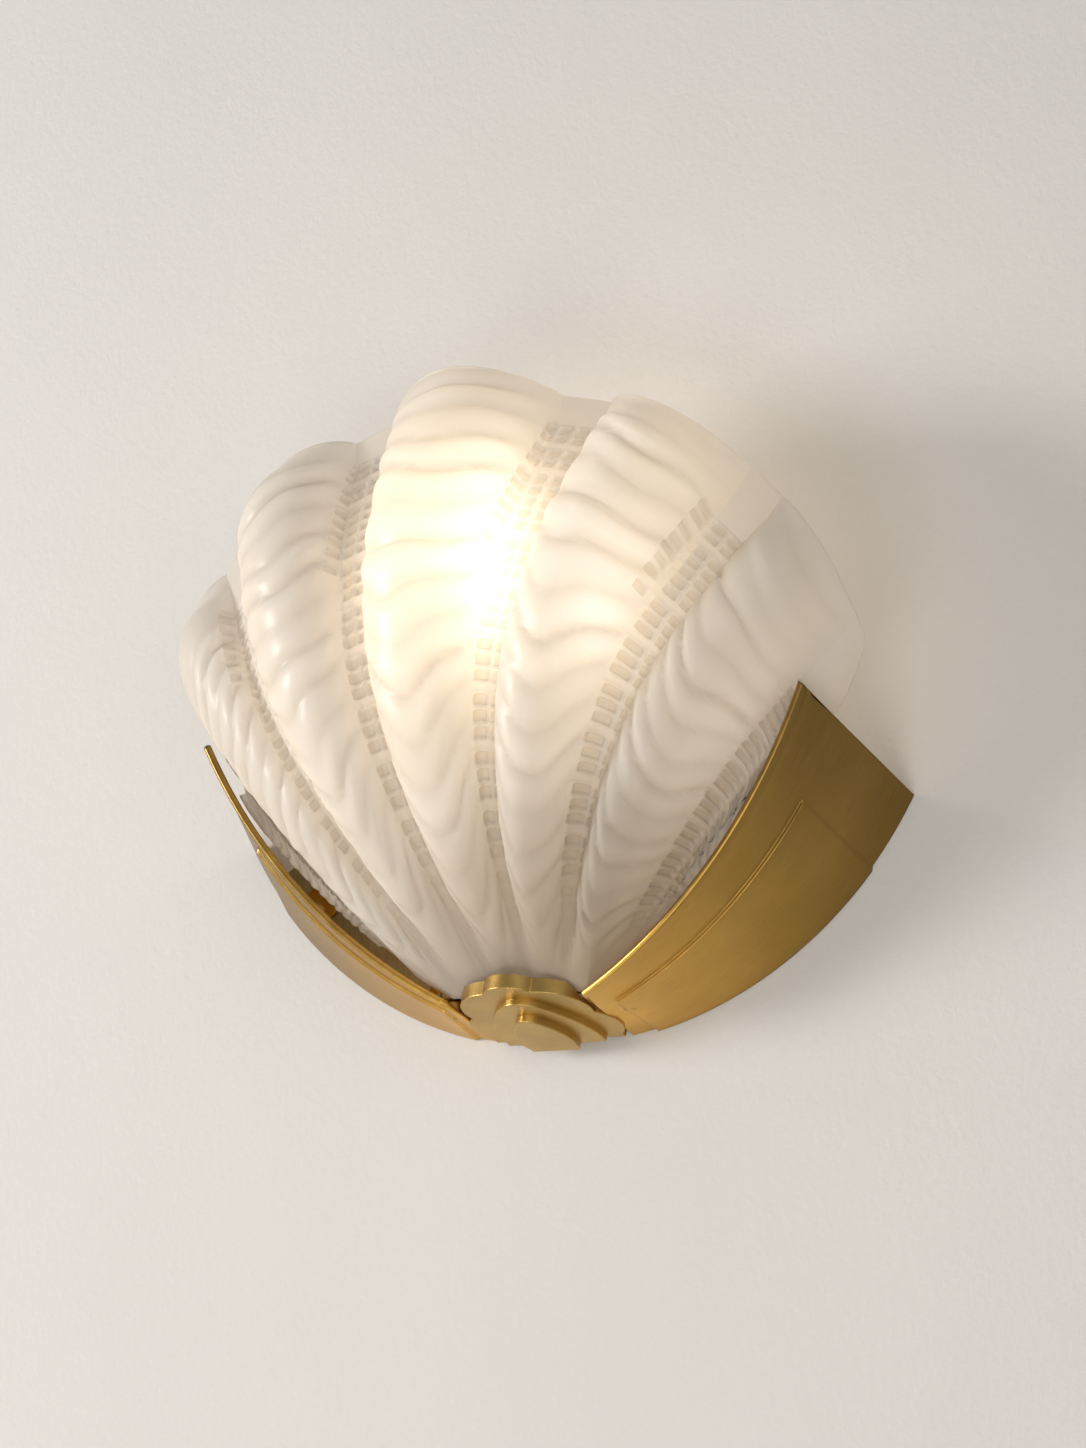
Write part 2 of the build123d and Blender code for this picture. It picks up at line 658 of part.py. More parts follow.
with BuildPart() as terminal_block:
    with BuildSketch(Plane.XY.offset(block_floor)):
        with Locations((0, -plate_thickness - block_y / 2)):
            Rectangle(block_x, block_y)
    extrude(amount=block_z)
    fillet(terminal_block.edges().filter_by(Axis.Z), 1)
    with BuildSketch(Plane.XY.offset(block_floor)):
        with Locations(*[(x, -plate_thickness - 6) for x in (-9, 0, 9)]):
            Circle(1.8)
    extrude(amount=block_z, mode=Mode.SUBTRACT)
    with BuildSketch(Plane(origin=(0, block_front, floor_z + block_height), x_dir=(1, 0, 0), z_dir=(0, -1, 0))):
        with Locations((-9, 3), (0, 3), (9, 3)):
            Circle(1.6)
    extrude(amount=-6.5, mode=Mode.SUBTRACT)
write(terminal_block, "terminal_block")

with BuildPart() as terminal_screws:
    face = Plane(origin=(0, block_front + 0.6, floor_z + block_height), x_dir=(1, 0, 0), z_dir=(0, -1, 0))
    with BuildSketch(face):
        with Locations((-9, 3), (0, 3), (9, 3)):
            Circle(1.45)
    extrude(amount=-5.6)
    with BuildSketch(face):
        with Locations((-9, 3), (0, 3), (9, 3)):
            Rectangle(2.2, 0.5)
    extrude(amount=-0.6, mode=Mode.SUBTRACT)
write(terminal_screws, "terminal_screws")

earth_face = Plane(origin=(earth_x, -plate_thickness - 1.8, floor_z + earth_height), x_dir=(1, 0, 0),
                   z_dir=(0, -1, 0))
write_screws("earth_screw", plate_thickness + 1.5, [earth_face])

with BuildPart() as earth_tag:
    with BuildSketch(Plane(origin=(earth_x, -plate_thickness, floor_z + earth_height), x_dir=(1, 0, 0),
                           z_dir=(0, -1, 0))):
        Circle(4)
        with Locations((0, -6)):
            Rectangle(3, 8)
        Circle(screw_radius + 0.1, mode=Mode.SUBTRACT)
    extrude(amount=1.8)
write(earth_tag, "earth_tag")

for name, x in lead_columns.items():
    end_x = 2 if x > 0 else -2
    route = [(x, -8, block_floor + block_z - 6), (x, -8, floor_z + 58), (x * 0.9, -26, floor_z + 72),
             (x * 0.5, -52, floor_z + 78), (end_x, lamp_y, floor_z + 92), (end_x, lamp_y, holder_foot + 9)]
    with BuildPart() as lead:
        with BuildLine() as path:
            FilletPolyline(*route, radius=(8, 12, 12, 10))
        with BuildSketch(Plane(origin=path.line @ 0, z_dir=path.line % 0)):
            Circle(lead_radius)
        sweep()
    write(lead, f"{name}_lead")

with BuildPart() as earth_lead:
    with BuildLine() as path:
        FilletPolyline((0, -8, block_floor + block_z - 6), (0, -8, floor_z + 53), (9, -4.6, floor_z + 58),
                       (earth_x, -5, floor_z + 61.5), (earth_x, -5, floor_z + 66), radius=(5, 5, 4))
    with BuildSketch(Plane(origin=path.line @ 0, z_dir=path.line % 0)):
        Circle(lead_radius)
    sweep()
write(earth_lead, "earth_lead")
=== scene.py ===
"""Looks of the shell wall sconce: fluted frosted glass, brushed brass cradle, lit bulb, plaster wall."""
import bmesh
import bpy
import numpy as np
from mathutils import Matrix


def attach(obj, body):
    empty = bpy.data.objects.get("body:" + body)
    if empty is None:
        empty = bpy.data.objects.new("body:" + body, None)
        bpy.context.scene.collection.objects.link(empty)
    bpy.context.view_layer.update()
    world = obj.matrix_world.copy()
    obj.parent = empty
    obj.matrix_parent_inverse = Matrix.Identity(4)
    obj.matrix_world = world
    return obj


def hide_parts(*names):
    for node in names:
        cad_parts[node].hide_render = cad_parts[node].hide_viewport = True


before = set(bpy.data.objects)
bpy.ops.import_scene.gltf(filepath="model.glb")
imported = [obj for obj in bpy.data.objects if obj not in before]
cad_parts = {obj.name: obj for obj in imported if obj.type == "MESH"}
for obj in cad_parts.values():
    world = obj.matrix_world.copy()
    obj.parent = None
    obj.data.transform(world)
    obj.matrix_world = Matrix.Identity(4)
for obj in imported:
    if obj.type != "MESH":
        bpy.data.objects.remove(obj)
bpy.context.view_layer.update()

bl_info = {
    "name": "Shell wall sconce",
    "version": (1, 0, 0),
    "blender": (4, 5, 0),
    "location": "View3D > Sidebar > Sconce",
    "description": "Dresses the packed model of a shell wall sconce",
    "category": "Object",
}

MM = 0.001

# ---------------- cradle, in millimetres
FLOOR = -100.0  # lowest edge of the cradle, under the wall fixings
REAR_RADIUS = 196.0  # arc of an arm on the wall
REAR_TIP_ANGLE = 61.3  # degrees round that arc
REAR_TIP_X = REAR_RADIUS * np.sin(np.radians(REAR_TIP_ANGLE))
FRONT_ARC_X, FRONT_ARC_HEIGHT, FRONT_ARC_RADIUS = -87.4, 246.5, 261.5  # centre and size of the front arc
FRONT_TIP_X = 151.2
ARM_ROOT_X = 14.0
FRONT_DEPTH, DEPTH_PER_X, DEPTH_PER_Z = 46.0, 0.148, 0.042  # the front edge leans out to the side and up
ARM_START, ARM_START_SLANT = 0.128, 0.030  # an arm starts at the cap: at the wall, and later at the front
ARM_ROWS = 200
SHEET = 1.8
BEAD_RADIUS, BEAD_DROP = 1.8, 0.5  # the bead's middle lies a little under the outer face
BEAD_FROM, BEAD_TO, BEAD_POINTS = 75, -165, 15  # degrees of the bead's arc round the front edge
PANEL_SHARE, PANEL_START, PANEL_END = 0.68, 0.20, 0.865  # raised field: share of the width, and lengthwise
PANEL_HEIGHT, PANEL_EDGE = 1.5, 0.006  # the edge's width is a share of the arm's width and length
ARM_LENGTH, ARM_WIDTH = 0.3, 0.075  # metres of UV along and across an arm
OUTER_UV_SHIFT = 0.1  # metres of UV between an arm's two faces
TAB_ANGLES = (20.0, 47.0)  # fixing tabs round the rear arc
TAB_INSET, TAB_DEPTH, TAB_HALVES = 9.8, 2.85, (9.0, 10.2, 0.75)
BOSS_X, BOSS_DEPTH, BOSS_HEIGHT = 45.0, 24.0, 16.0  # clamp bosses inside the arms
BOSS_HALVES = (4.4, 4.4, 4.9)
# places of the profile's points across the sheet, closer together at the raised field's edge
STEP_SHARES = PANEL_SHARE + 2 * PANEL_EDGE * np.linspace(-1, 1, 9)
OUTER_SHARES = np.concatenate([[0, 0.01], np.linspace(0.05, 0.64, 10), STEP_SHARES,
                               np.linspace(0.72, 0.95, 6)])
INNER_SHARES = np.concatenate([np.linspace(0.95, 0.03, 12), [0.006, 0]])
EXTRA_ROWS = np.array((0, 0.002, 0.004))  # further rows before PANEL_START and after PANEL_END

# ---------------- glass, in millimetres
FAN_DROP = 27.0  # the fan's centre lies this far under the cradle
FAN_STEP, FAN_CLOSING, SIDE_CLOSING = 21.2, 1.68, 10.3  # degrees from one flute to the next
SIDE_TURN = 2.5  # flute number of the last valley
FAN_EDGE = 2.8  # flute number of the side edge
SIDE_WIDTH = FAN_EDGE - SIDE_TURN
SIDE_DEPTH, SIDE_EASE, SIDE_FOOT = 27.0, 0.1, 0.3  # the sides turn back to the wall, less at the foot
RIM_RADIUS, RIM_FALL, RIM_SHOULDER = 311.0, 9.0, 73.0
RIM_DEPTH, RIM_DEPTH_FALL = 84.0, 4.2
FOOT_HEIGHT, FOOT_GAP = 18.5, 3.5  # above the cap, and between the glass and the arms
FOOT_SETBACK, FOOT_SETBACK_MIDDLE = 5.5, 3.0
LEAVE_ANGLE, REACH_ANGLE, REACH_FALL = 50, 14, 5  # degrees of the shell's curve at the foot and at the rim
FIRST_ARM, FIRST_ARM_FALL = 0.84, 0.50  # reach of the curve's inner points, in the middle and sideways
SECOND_ARM, SECOND_ARM_RISE = 0.16, 0.17
GLASS_WALL, RIM_THINNING = 4.5, 1.6
RIM_ROWS = ((0.15, 0.55), (0.5, 1.0), (0.85, 0.55))  # share of the wall across the rim, and rise
EDGE_FROM = 2.46  # from this flute number the glass bends over to its side edge
EDGE_FOOT, EDGE_RIM = 102.0, 212.0  # side edge of the glass from the fan's centre, at foot and rim
EDGE_PLACES = (0, 0.16, 0.30, 0.53, 0.75, 0.89, 1)
EDGE_DEPTHS = (45.8, 52.5, 56.5, 58.5, 56.5, 52, 46)
VALLEY_SHARE, VALLEY_WIDENING = 0.16, 0.07  # share of a flute's width at the foot, and more at the rim
RIB_HEIGHT, RIB_FOOT_RADIUS, RIB_FULL_RADIUS, RIB_GROWTH = 25.0, 15, 220, 0.75
RIB_ROUNDNESS, FLANK_EASE = 0.6, 0.03  # the ease softens the foot of each rib
INNER_VALLEY, INNER_VALLEY_MOST = 2.4, 0.6  # valleys of the inner face, in wall thicknesses and at most
BULB = (0.0, -64.0, 90.0)  # middle of the light
LIGHT = (10.0, -97.0, 96.0)  # the bulb light, between the bulb and the glass

# swags across the flutes
SWAGS, SWAG_GROWTH, SWAG_HANG, FLUTE_SHIFT = 17.5, 1.5, 0.068, 0.37  # see swags
SWAG_WANDER = ((0.16, 5.1, 9.0, 0.0), (0.10, 11.3, 17.0, 2.0))  # size, waves across and up, start
SWAG_ROUNDNESS, SWAG_LEVEL = 0.8, 0.62
SWAG_MEAN, SWAG_SWING, SWAG_BEAT, FLUTE_BEAT = 0.75, 0.35, 2.3, 1.7  # how tall one swag is after another
LIP, LIP_FALL, LIP_FROM, LIP_TO = 0.94, 0.15, 0.6, 1.9  # the plain lip is wider on the outer flutes

# small squares in the valleys
SQUARE_HEIGHTS = (0.08, 0.25, 0.45, 0.7, 1)
SQUARE_WIDTHS = (3.4, 5.6, 7.4, 8.0, 8.2)
SIDE_SQUARE = 0.14  # widest square in the outermost valleys, in flute numbers
CELL_LINES = (0, 0.09, 0.18, 0.29, 0.71, 0.82, 0.91)  # mesh lines in one small square
FLANK_CELL = 0.58  # squares on the flanks of the ribs are this much narrower in flute numbers
ROW_DENSITY, ROW_GROWTH = 52.2, 1.25  # rows of squares, see row_number
ROWS_FROM = 0.68  # squares stand in pairs of rows above this height and in threes below
PAIR_PITCH, THREE_PITCH = 2.5, 3.5  # rows from one pair or three to the next, with the gap
OUTER_LEFT_FROM, OUTER_RIGHT_FROM = 0.56, 0.70  # the outer columns of squares start at these heights
SQUARES_TOP, SQUARES_TOP_FALL = 0.89, 0.06
FRAME_HEIGHT = 0.40  # raised frame round a square, as a share of its depth

# ---------------- stage, in metres unless named otherwise
# two opposite corners, in millimetres; the wall stands half a millimetre behind the plate
WALL_CORNERS = (-3000, 0.5, -900), (3000, 0.5, 2600)
FLOOR_CORNERS = (-3000, -4000, -900), (3000, 600, -900)
# name, place, target, size, power in watts, colour
LIGHTS = (
    ("key", (-1.95, -1.35, 0.15), (0, -0.05, 0.05), 0.7, 39, (1.0, 0.99, 0.98)),
    ("fill", (1.5, -2.2, 0.2), (0, -0.05, 0.0), 1.8, 13.5, (1.0, 0.985, 0.97)),
    ("low", (0.1, -1.2, -0.85), (0, -0.05, -0.05), 0.8, 8, (1.0, 0.95, 0.88)),
)
BULB_COLOUR, BULB_SIZE = (1.0, 0.78, 0.50), 0.016
WORLD_COLOUR, WORLD_STRENGTH = (1.0, 0.99, 0.98, 1.0), 0.32
CAMERA_PLACE, CAMERA_AZIMUTH, CAMERA_ELEVATION = (0.6358, -1.2187, -0.2297), 28.0, -11.5
CAMERA_SENSOR, CAMERA_LENS = 36.0, 74.6
# the wall plate's column and cross bar (half width, lowest and highest edge) and its ring, just inside them
PLATE_BARS = ((0.0215, -0.088, 0.0135), (0.0715, -0.0135, 0.0135))
PLATE_RING_INNER, PLATE_RING_OUTER, PLATE_RING_TOP = 0.1735, 0.1915, -0.0155


def smooth(t):
    """0 below 0 and 1 above 1, level at both ends."""
    t = np.clip(t, 0, 1)
    return t * t * (3 - 2 * t)


# ---------------- property groups
class SconceShadeSettings(bpy.types.PropertyGroup):
    """Sizes and colours of the glass shade"""
    ripple_height: bpy.props.FloatProperty(
        name="Ripple height", description="Height of the swags across each flute", unit="LENGTH",
        default=3.7 * MM)
    pit_depth: bpy.props.FloatProperty(
        name="Square depth", description="Depth of the small squares in the valleys", unit="LENGTH",
        default=1.5 * MM)
    tint: bpy.props.FloatVectorProperty(
        name="Glass colour", description="Colour of the frosted glass", subtype="COLOR", size=3,
        default=(0.82, 0.79, 0.745))
    glow: bpy.props.FloatVectorProperty(
        name="Glow colour", description="Colour of the light in the glass", subtype="COLOR", size=3,
        default=(1.0, 0.80, 0.55))
    glow_strength: bpy.props.FloatProperty(
        name="Glow strength", description="Light of the glass nearest to the bulb", default=1.0, min=0)


class SconceBrassSettings(bpy.types.PropertyGroup):
    """Colours and finish of the brass"""
    colour: bpy.props.FloatVectorProperty(
        name="Brass colour", description="Colour of the brushed brass", subtype="COLOR", size=3,
        default=(0.50, 0.335, 0.11))
    roughness: bpy.props.FloatProperty(
        name="Brass roughness", description="How dull the brushed brass is", subtype="FACTOR",
        default=0.32, min=0, max=1)


class SconceStageSettings(bpy.types.PropertyGroup):
    """Wall, floor, lights and camera"""
    wall_colour: bpy.props.FloatVectorProperty(
        name="Wall colour", description="Colour of the plaster wall", subtype="COLOR", size=3,
        default=(0.665, 0.645, 0.62))
    bulb_power: bpy.props.FloatProperty(
        name="Bulb power", description="Power of the light in the bulb", default=0.20, min=0, unit="POWER")


# ---------------- mesh helpers
def mesh_object(name, points, quads, triangles=(), uv=None, materials=(), index=None, sharp=False):
    """A finished object from arrays: points in millimetres, corners of quads, and one UV per point."""
    mesh = bpy.data.meshes.new(name)
    loops = np.concatenate([np.asarray(quads).ravel(), np.asarray(triangles, int).ravel()]).astype(np.int32)
    sizes = np.concatenate([np.full(len(quads), 4), np.full(len(triangles), 3)]).astype(np.int32)
    starts = np.concatenate([[0], np.cumsum(sizes)[:-1]]).astype(np.int32)
    mesh.vertices.add(len(points))
    mesh.vertices.foreach_set("co", (np.asarray(points, float) * MM).astype(np.float32).ravel())
    mesh.loops.add(len(loops))
    mesh.loops.foreach_set("vertex_index", loops)
    mesh.polygons.add(len(sizes))
    mesh.polygons.foreach_set("loop_start", starts)
    mesh.polygons.foreach_set("use_smooth", np.full(len(sizes), not sharp))
    for material in materials:
        mesh.materials.append(material)
    if index is not None:
        mesh.polygons.foreach_set("material_index", np.asarray(index, np.int32))
    if uv is not None:
        layer = mesh.uv_layers.new(name="UVMap")
        layer.data.foreach_set("uv", np.asarray(uv, np.float32)[loops].ravel())
    mesh.update(calc_edges=True)
    mesh.validate()
    thing = bpy.data.objects.new(name, mesh)
    bpy.context.scene.collection.objects.link(thing)
    return thing


def turn_outward(thing, weld, fill=False):
    """Joins points closer than this many metres and turns every face outward; can fill open edges."""
    work = bmesh.new()
    work.from_mesh(thing.data)
    bmesh.ops.remove_doubles(work, verts=work.verts, dist=weld)
    if fill:
        edges = [edge for edge in work.edges if edge.is_boundary]
        made = bmesh.ops.holes_fill(work, edges=edges, sides=0)
        bmesh.ops.triangulate(work, faces=made["faces"])
    bmesh.ops.recalc_face_normals(work, faces=work.faces)
    work.to_mesh(thing.data)
    work.free()
    thing.data.polygons.foreach_set("use_smooth", np.ones(len(thing.data.polygons), bool))


def grid_quads(rows, columns, closed=False):
    """Corners of the quads of a grid of rows by columns; closed joins the last column to the first."""
    row = np.arange(rows - 1)[:, None] * columns
    column = np.arange(columns if closed else columns - 1)[None, :]
    after = (column + 1) % columns
    corners = [row + column, row + after, row + columns + after, row + columns + column]
    return np.stack([c.ravel() for c in corners], axis=1)


# ---------------- materials
WHITE = (1.0, 1.0, 1.0)


def new_material(name):
    """An empty node material with its output; returns the material and its node tree."""
    material = bpy.data.materials.new(name)
    material.use_nodes = True
    tree = material.node_tree
    tree.nodes.clear()
    tree.nodes.new("ShaderNodeOutputMaterial")
    return material, tree


def coordinates(tree, kind, scale):
    """Object or UV coordinates stretched by a Mapping node."""
    source = tree.nodes.new("ShaderNodeTexCoord")
    mapping = tree.nodes.new("ShaderNodeMapping")
    mapping.inputs["Scale"].default_value = scale
    tree.links.new(source.outputs[kind], mapping.inputs["Vector"])
    return mapping.outputs["Vector"]


def noise(tree, vector, scale, detail=3.0, roughness=0.5):
    """A noise texture on these coordinates; returns its value."""
    texture = tree.nodes.new("ShaderNodeTexNoise")
    texture.inputs["Scale"].default_value = scale
    texture.inputs["Detail"].default_value = detail
    texture.inputs["Roughness"].default_value = roughness
    tree.links.new(vector, texture.inputs["Vector"])
    return texture.outputs["Fac"]


def ramp(tree, value, stops):
    """A colour ramp with these (place, colour) stops."""
    node = tree.nodes.new("ShaderNodeValToRGB")
    elements = node.color_ramp.elements
    while len(elements) < len(stops):
        elements.new(0.5)
    for element, (place, colour) in zip(elements, stops):
        element.position = place
        element.color = (*colour, 1.0)
    tree.links.new(value, node.inputs["Fac"])
    return node.outputs["Color"]


def to_range(tree, value, low, high, from_low=0.0, from_high=1.0):
    """A value mapped from one range to another."""
    node = tree.nodes.new("ShaderNodeMapRange")
    for key, number in zip(("From Min", "From Max", "To Min", "To Max"), (from_low, from_high, low, high)):
        node.inputs[key].default_value = number
    tree.links.new(value, node.inputs["Value"])
    return node.outputs["Result"]


def multiply(tree, first, second):
    """Product of two colours; a Mix node's colour sockets are found by their numbers."""
    factor, colour_a, colour_b, colour_out = 0, 6, 7, 2
    node = tree.nodes.new("ShaderNodeMix")
    node.data_type = "RGBA"
    node.blend_type = "MULTIPLY"
    node.inputs[factor].default_value = 1.0
    tree.links.new(first, node.inputs[colour_a])
    tree.links.new(second, node.inputs[colour_b])
    return node.outputs[colour_out]


def feed(tree, value, socket):
    """Links a value to a socket, or sets a plain number on it."""
    if isinstance(value, (int, float)):
        socket.default_value = value
    else:
        tree.links.new(value, socket)


def maths(tree, operation, first, second=0.0):
    """One Math node on values or numbers."""
    node = tree.nodes.new("ShaderNodeMath")
    node.operation = operation
    feed(tree, first, node.inputs[0])
    feed(tree, second, node.inputs[1])
    return node.outputs["Value"]


def split_axes(tree, vector):
    """The X, Y and Z of a vector, by name."""
    node = tree.nodes.new("ShaderNodeSeparateXYZ")
    tree.links.new(vector, node.inputs["Vector"])
    return node.outputs


def mix_shaders(tree, share, first, second):
    """A mix of two shaders' outputs, with this share of the second."""
    node = tree.nodes.new("ShaderNodeMixShader")
    feed(tree, share, node.inputs["Fac"])
    tree.links.new(first, node.inputs[1])
    tree.links.new(second, node.inputs[2])
    return node.outputs["Shader"]


def clouded(tree, value, colour, low, high):
    """A colour that a value moves between two multiples of itself."""
    dark = tuple(low * c for c in colour)
    light = tuple(min(1.0, high * c) for c in colour)
    return ramp(tree, value, ((0.3, dark), (0.7, light)))


def bump(tree, height, distance, strength=1.0):
    """A bump from this height."""
    node = tree.nodes.new("ShaderNodeBump")
    node.inputs["Distance"].default_value = distance
    node.inputs["Strength"].default_value = strength
    tree.links.new(height, node.inputs["Height"])
    return node.outputs["Normal"]


def principled(tree, **values):
    """A Principled shader joined to the output, with values set on its own sockets."""
    shader = tree.nodes.new("ShaderNodeBsdfPrincipled")
    for key, value in values.items():
        shader.inputs[key.replace("_", " ")].default_value = value
    output = [node for node in tree.nodes if node.type == "OUTPUT_MATERIAL"][0]
    tree.links.new(shader.outputs["BSDF"], output.inputs["Surface"])
    return shader


def brushed_metal(name, colour, roughness, kind, grain, coarse, painted_reflection=None):
    """Brushed metal: fine scratches along one way, faint clouding and uneven dullness.

    The last argument gives (place, factor) stops along UV x: a painted reflection, so the piece is lighter at
    one end and darker along it.
    """
    material, tree = new_material(name)
    shader = principled(tree, Metallic=1.0)
    fine = noise(tree, coordinates(tree, kind, grain), 1.0, 2.0, 0.6)
    clouds = noise(tree, coordinates(tree, kind, coarse), 1.0, 3.0, 0.55)
    scratches = ramp(tree, fine, ((0.3, (0.80, 0.79, 0.76)), (0.7, WHITE)))
    tone = multiply(tree, scratches, clouded(tree, clouds, colour, 0.82, 1.12))
    # painted reflection: the colour is scaled by stops along the piece
    if painted_reflection:
        along = split_axes(tree, coordinates(tree, kind, (1 / ARM_LENGTH, 1, 1)))["X"]
        along = maths(tree, "ADD", along, to_range(tree, clouds, -0.03, 0.03))
        tone = multiply(tree, ramp(tree, along, painted_reflection), tone)
    tree.links.new(tone, shader.inputs["Base Color"])
    dull = to_range(tree, fine, roughness - 0.08, roughness + 0.12)
    tree.links.new(dull, shader.inputs["Roughness"])
    tree.links.new(bump(tree, fine, 0.00008, 0.7), shader.inputs["Normal"])
    return material


def plain_material(name, colour, roughness, depth):
    """A moulded finish: slight clouding of its colour and a fine surface grain of this depth in metres."""
    material, tree = new_material(name)
    shader = principled(tree)
    place = coordinates(tree, "Object", (1, 1, 1))
    clouds = noise(tree, place, 60.0, 3.0)
    fine = noise(tree, place, 900.0, 2.0)
    tree.links.new(clouded(tree, clouds, colour, 0.9, 1.1), shader.inputs["Base Color"])
    dull = to_range(tree, clouds, roughness - 0.05, roughness + 0.08)
    tree.links.new(dull, shader.inputs["Roughness"])
    tree.links.new(bump(tree, fine, depth), shader.inputs["Normal"])
    return material


def glow_value(tree, middle, radii, power):
    """1 at the middle, falling to 0 on the ellipsoid with these radii, all in millimetres."""
    vector = tree.nodes.new("ShaderNodeTexCoord").outputs["Object"]
    for operation, numbers in (("SUBTRACT", middle), ("DIVIDE", radii)):
        node = tree.nodes.new("ShaderNodeVectorMath")
        node.operation = operation
        node.inputs[1].default_value = tuple(MM * c for c in numbers)
        tree.links.new(vector, node.inputs[0])
        vector = node.outputs["Vector"]
    length = tree.nodes.new("ShaderNodeVectorMath")
    length.operation = "LENGTH"
    tree.links.new(vector, length.inputs[0])
    return maths(tree, "POWER", to_range(tree, length.outputs["Value"], 1.0, 0.0), power)


# painted glow where the glass is lit from inside: middle, radii in millimetres, falling off and strength of
# each soft spot
GLOW_SPOTS = (
    ((27, -128, 98), (34, 46, 82), 1.1, 0.62),
    ((84, -134, 66), (42, 42, 56), 1.2, 0.42),
    ((70, -115, 110), (110, 100, 130), 1.0, 0.44),
    ((-60, -110, 50), (140, 110, 160), 0.9, 0.26),
)
FOOT_PAINTED_SHADE = ((60, -60, -95), (125, 110, 120), 0.8)  # painted shade: the glass is darker and warmer round the cap
RELIEF_LOW, RELIEF_HIGH = -2.2, 1.0  # millimetres of relief between which the painted shade in the hollows and the painted glow on the swags change
MIDDLE_U = 0.57  # UV x where the glass lets least through


def glass_colour(tree, tint, clouds, swag):
    """Colour of the glass with painted shade: darker and browner towards its foot round the cap, and darker
    in the hollows between the swags and on the floors of the small squares.
    """
    # painted shade round the cap, at the foot of the glass
    foot = glow_value(tree, *FOOT_PAINTED_SHADE)
    foot = maths(tree, "ADD", foot, to_range(tree, clouds, -0.05, 0.05))
    warm = tuple(t * c for t, c in zip(tint, (0.80, 0.74, 0.66)))
    brown = tuple(t * c for t, c in zip(tint, (0.58, 0.47, 0.34)))
    body = ramp(tree, foot, ((0.0, tint), (0.55, warm), (1.0, brown)))
    # painted shade in the hollows of the relief
    height = to_range(tree, swag, 0.0, 1.0, RELIEF_LOW, 0.8)
    return multiply(tree, body, ramp(tree, height, ((0.0, (0.80, 0.77, 0.73)), (1.0, WHITE))))


def clear_share(tree, clear):
    """How much the glass lets through unscattered: this share, and more near the rim and to the sides."""
    place = split_axes(tree, tree.nodes.new("ShaderNodeTexCoord").outputs["UV"])
    rim = to_range(tree, place["Y"], clear, clear + 0.12, 0.80, 0.97)
    away = maths(tree, "ABSOLUTE", maths(tree, "SUBTRACT", place["X"], MIDDLE_U))
    return maths(tree, "ADD", rim, to_range(tree, away, 0.0, 0.14, 0.18, 0.45))


def frosted_glass(name, settings, clear):
    """Frosted glass: a soft sheen over a skin that lets light through, with a painted glow from inside near
    the bulb, brighter on the swags and dimmer in the hollows of the relief.
    """
    material, tree = new_material(name)
    output = tree.nodes[0]
    shader = principled(tree, Roughness=0.36, Specular_IOR_Level=0.45)
    place = coordinates(tree, "Object", (1, 1, 1))
    clouds = noise(tree, place, 25.0, 3.0)
    grain = noise(tree, place, 1400.0, 2.0)
    lift = tree.nodes.new("ShaderNodeAttribute")
    lift.attribute_name = "relief"
    swag = lift.outputs["Fac"]
    body = glass_colour(tree, tuple(settings.tint), clouds, swag)
    tree.links.new(body, shader.inputs["Base Color"])
    tree.links.new(bump(tree, grain, 0.00002, 0.5), shader.inputs["Normal"])
    level = 0.0
    for middle, radii, power, strength in GLOW_SPOTS:
        spot = maths(tree, "MULTIPLY", glow_value(tree, middle, radii, power), strength)
        level = maths(tree, "ADD", spot, level)
    # painted light and shade from the relief: the glow is brighter on the swags and dimmer in their hollows
    relief_light_and_shade = to_range(tree, swag, 0.55, 1.15, RELIEF_LOW, RELIEF_HIGH)
    level = maths(tree, "MULTIPLY", level, relief_light_and_shade)
    glow = ramp(tree, level, ((0.0, (0.9, 0.62, 0.36)), (0.30, tuple(settings.glow)),
                                      (0.75, (1.0, 0.95, 0.86))))
    tree.links.new(glow, shader.inputs["Emission Color"])
    strength = maths(tree, "MULTIPLY", level, settings.glow_strength)
    tree.links.new(strength, shader.inputs["Emission Strength"])
    through = tree.nodes.new("ShaderNodeBsdfTranslucent")
    tree.links.new(body, through.inputs["Color"])
    skin = mix_shaders(tree, 0.40, shader.outputs["BSDF"], through.outputs["BSDF"])
    see = tree.nodes.new("ShaderNodeBsdfTransparent")
    see.inputs["Color"].default_value = (1.0, 0.98, 0.95, 1.0)
    glass = mix_shaders(tree, clear_share(tree, clear), skin, see.outputs["BSDF"])
    tree.links.new(glass, output.inputs["Surface"])
    return material


# ---------------- cradle arms
def arm_frame(along, side):
    """Rear and front points of an arm's sections at these places along it.

    The rear point runs up a circle on the wall and the front point up the leaning front arc.
    """
    x = ARM_ROOT_X + (REAR_TIP_X - ARM_ROOT_X) * along
    height = REAR_RADIUS - np.sqrt(REAR_RADIUS ** 2 - x ** 2)
    rear = np.stack([side * x, 0 * x, FLOOR + height], -1)
    x = ARM_ROOT_X + (FRONT_TIP_X - ARM_ROOT_X) * along
    height = FRONT_ARC_HEIGHT - np.sqrt(FRONT_ARC_RADIUS ** 2 - (x - FRONT_ARC_X) ** 2)
    depth = FRONT_DEPTH + DEPTH_PER_X * x + DEPTH_PER_Z * height
    front = np.stack([side * x, -depth, FLOOR + height], -1)
    return rear, front


def arm_points(along, share, lift, side):
    """Points at these places along and across an arm, lifted along its outward normal.

    Also gives the unit normals and the unit directions across the sheet.
    """
    def place(a, b):
        rear, front = arm_frame(a, side)
        return rear + (front - rear) * b[..., None]

    step = 0.002
    here = place(along, share)
    up = place(along + step, share) - place(along - step, share)
    across = place(along, share + step) - place(along, share - step)
    normal = np.cross(across, up) * side
    normal /= np.linalg.norm(normal, axis=-1, keepdims=True)
    inside = np.array([0.0, -30.0, FLOOR + REAR_RADIUS])
    if np.mean(np.sum(normal * (here - inside), -1)) < 0:
        normal = -normal
    return here + normal * lift[..., None], normal, across / np.linalg.norm(across, axis=-1, keepdims=True)


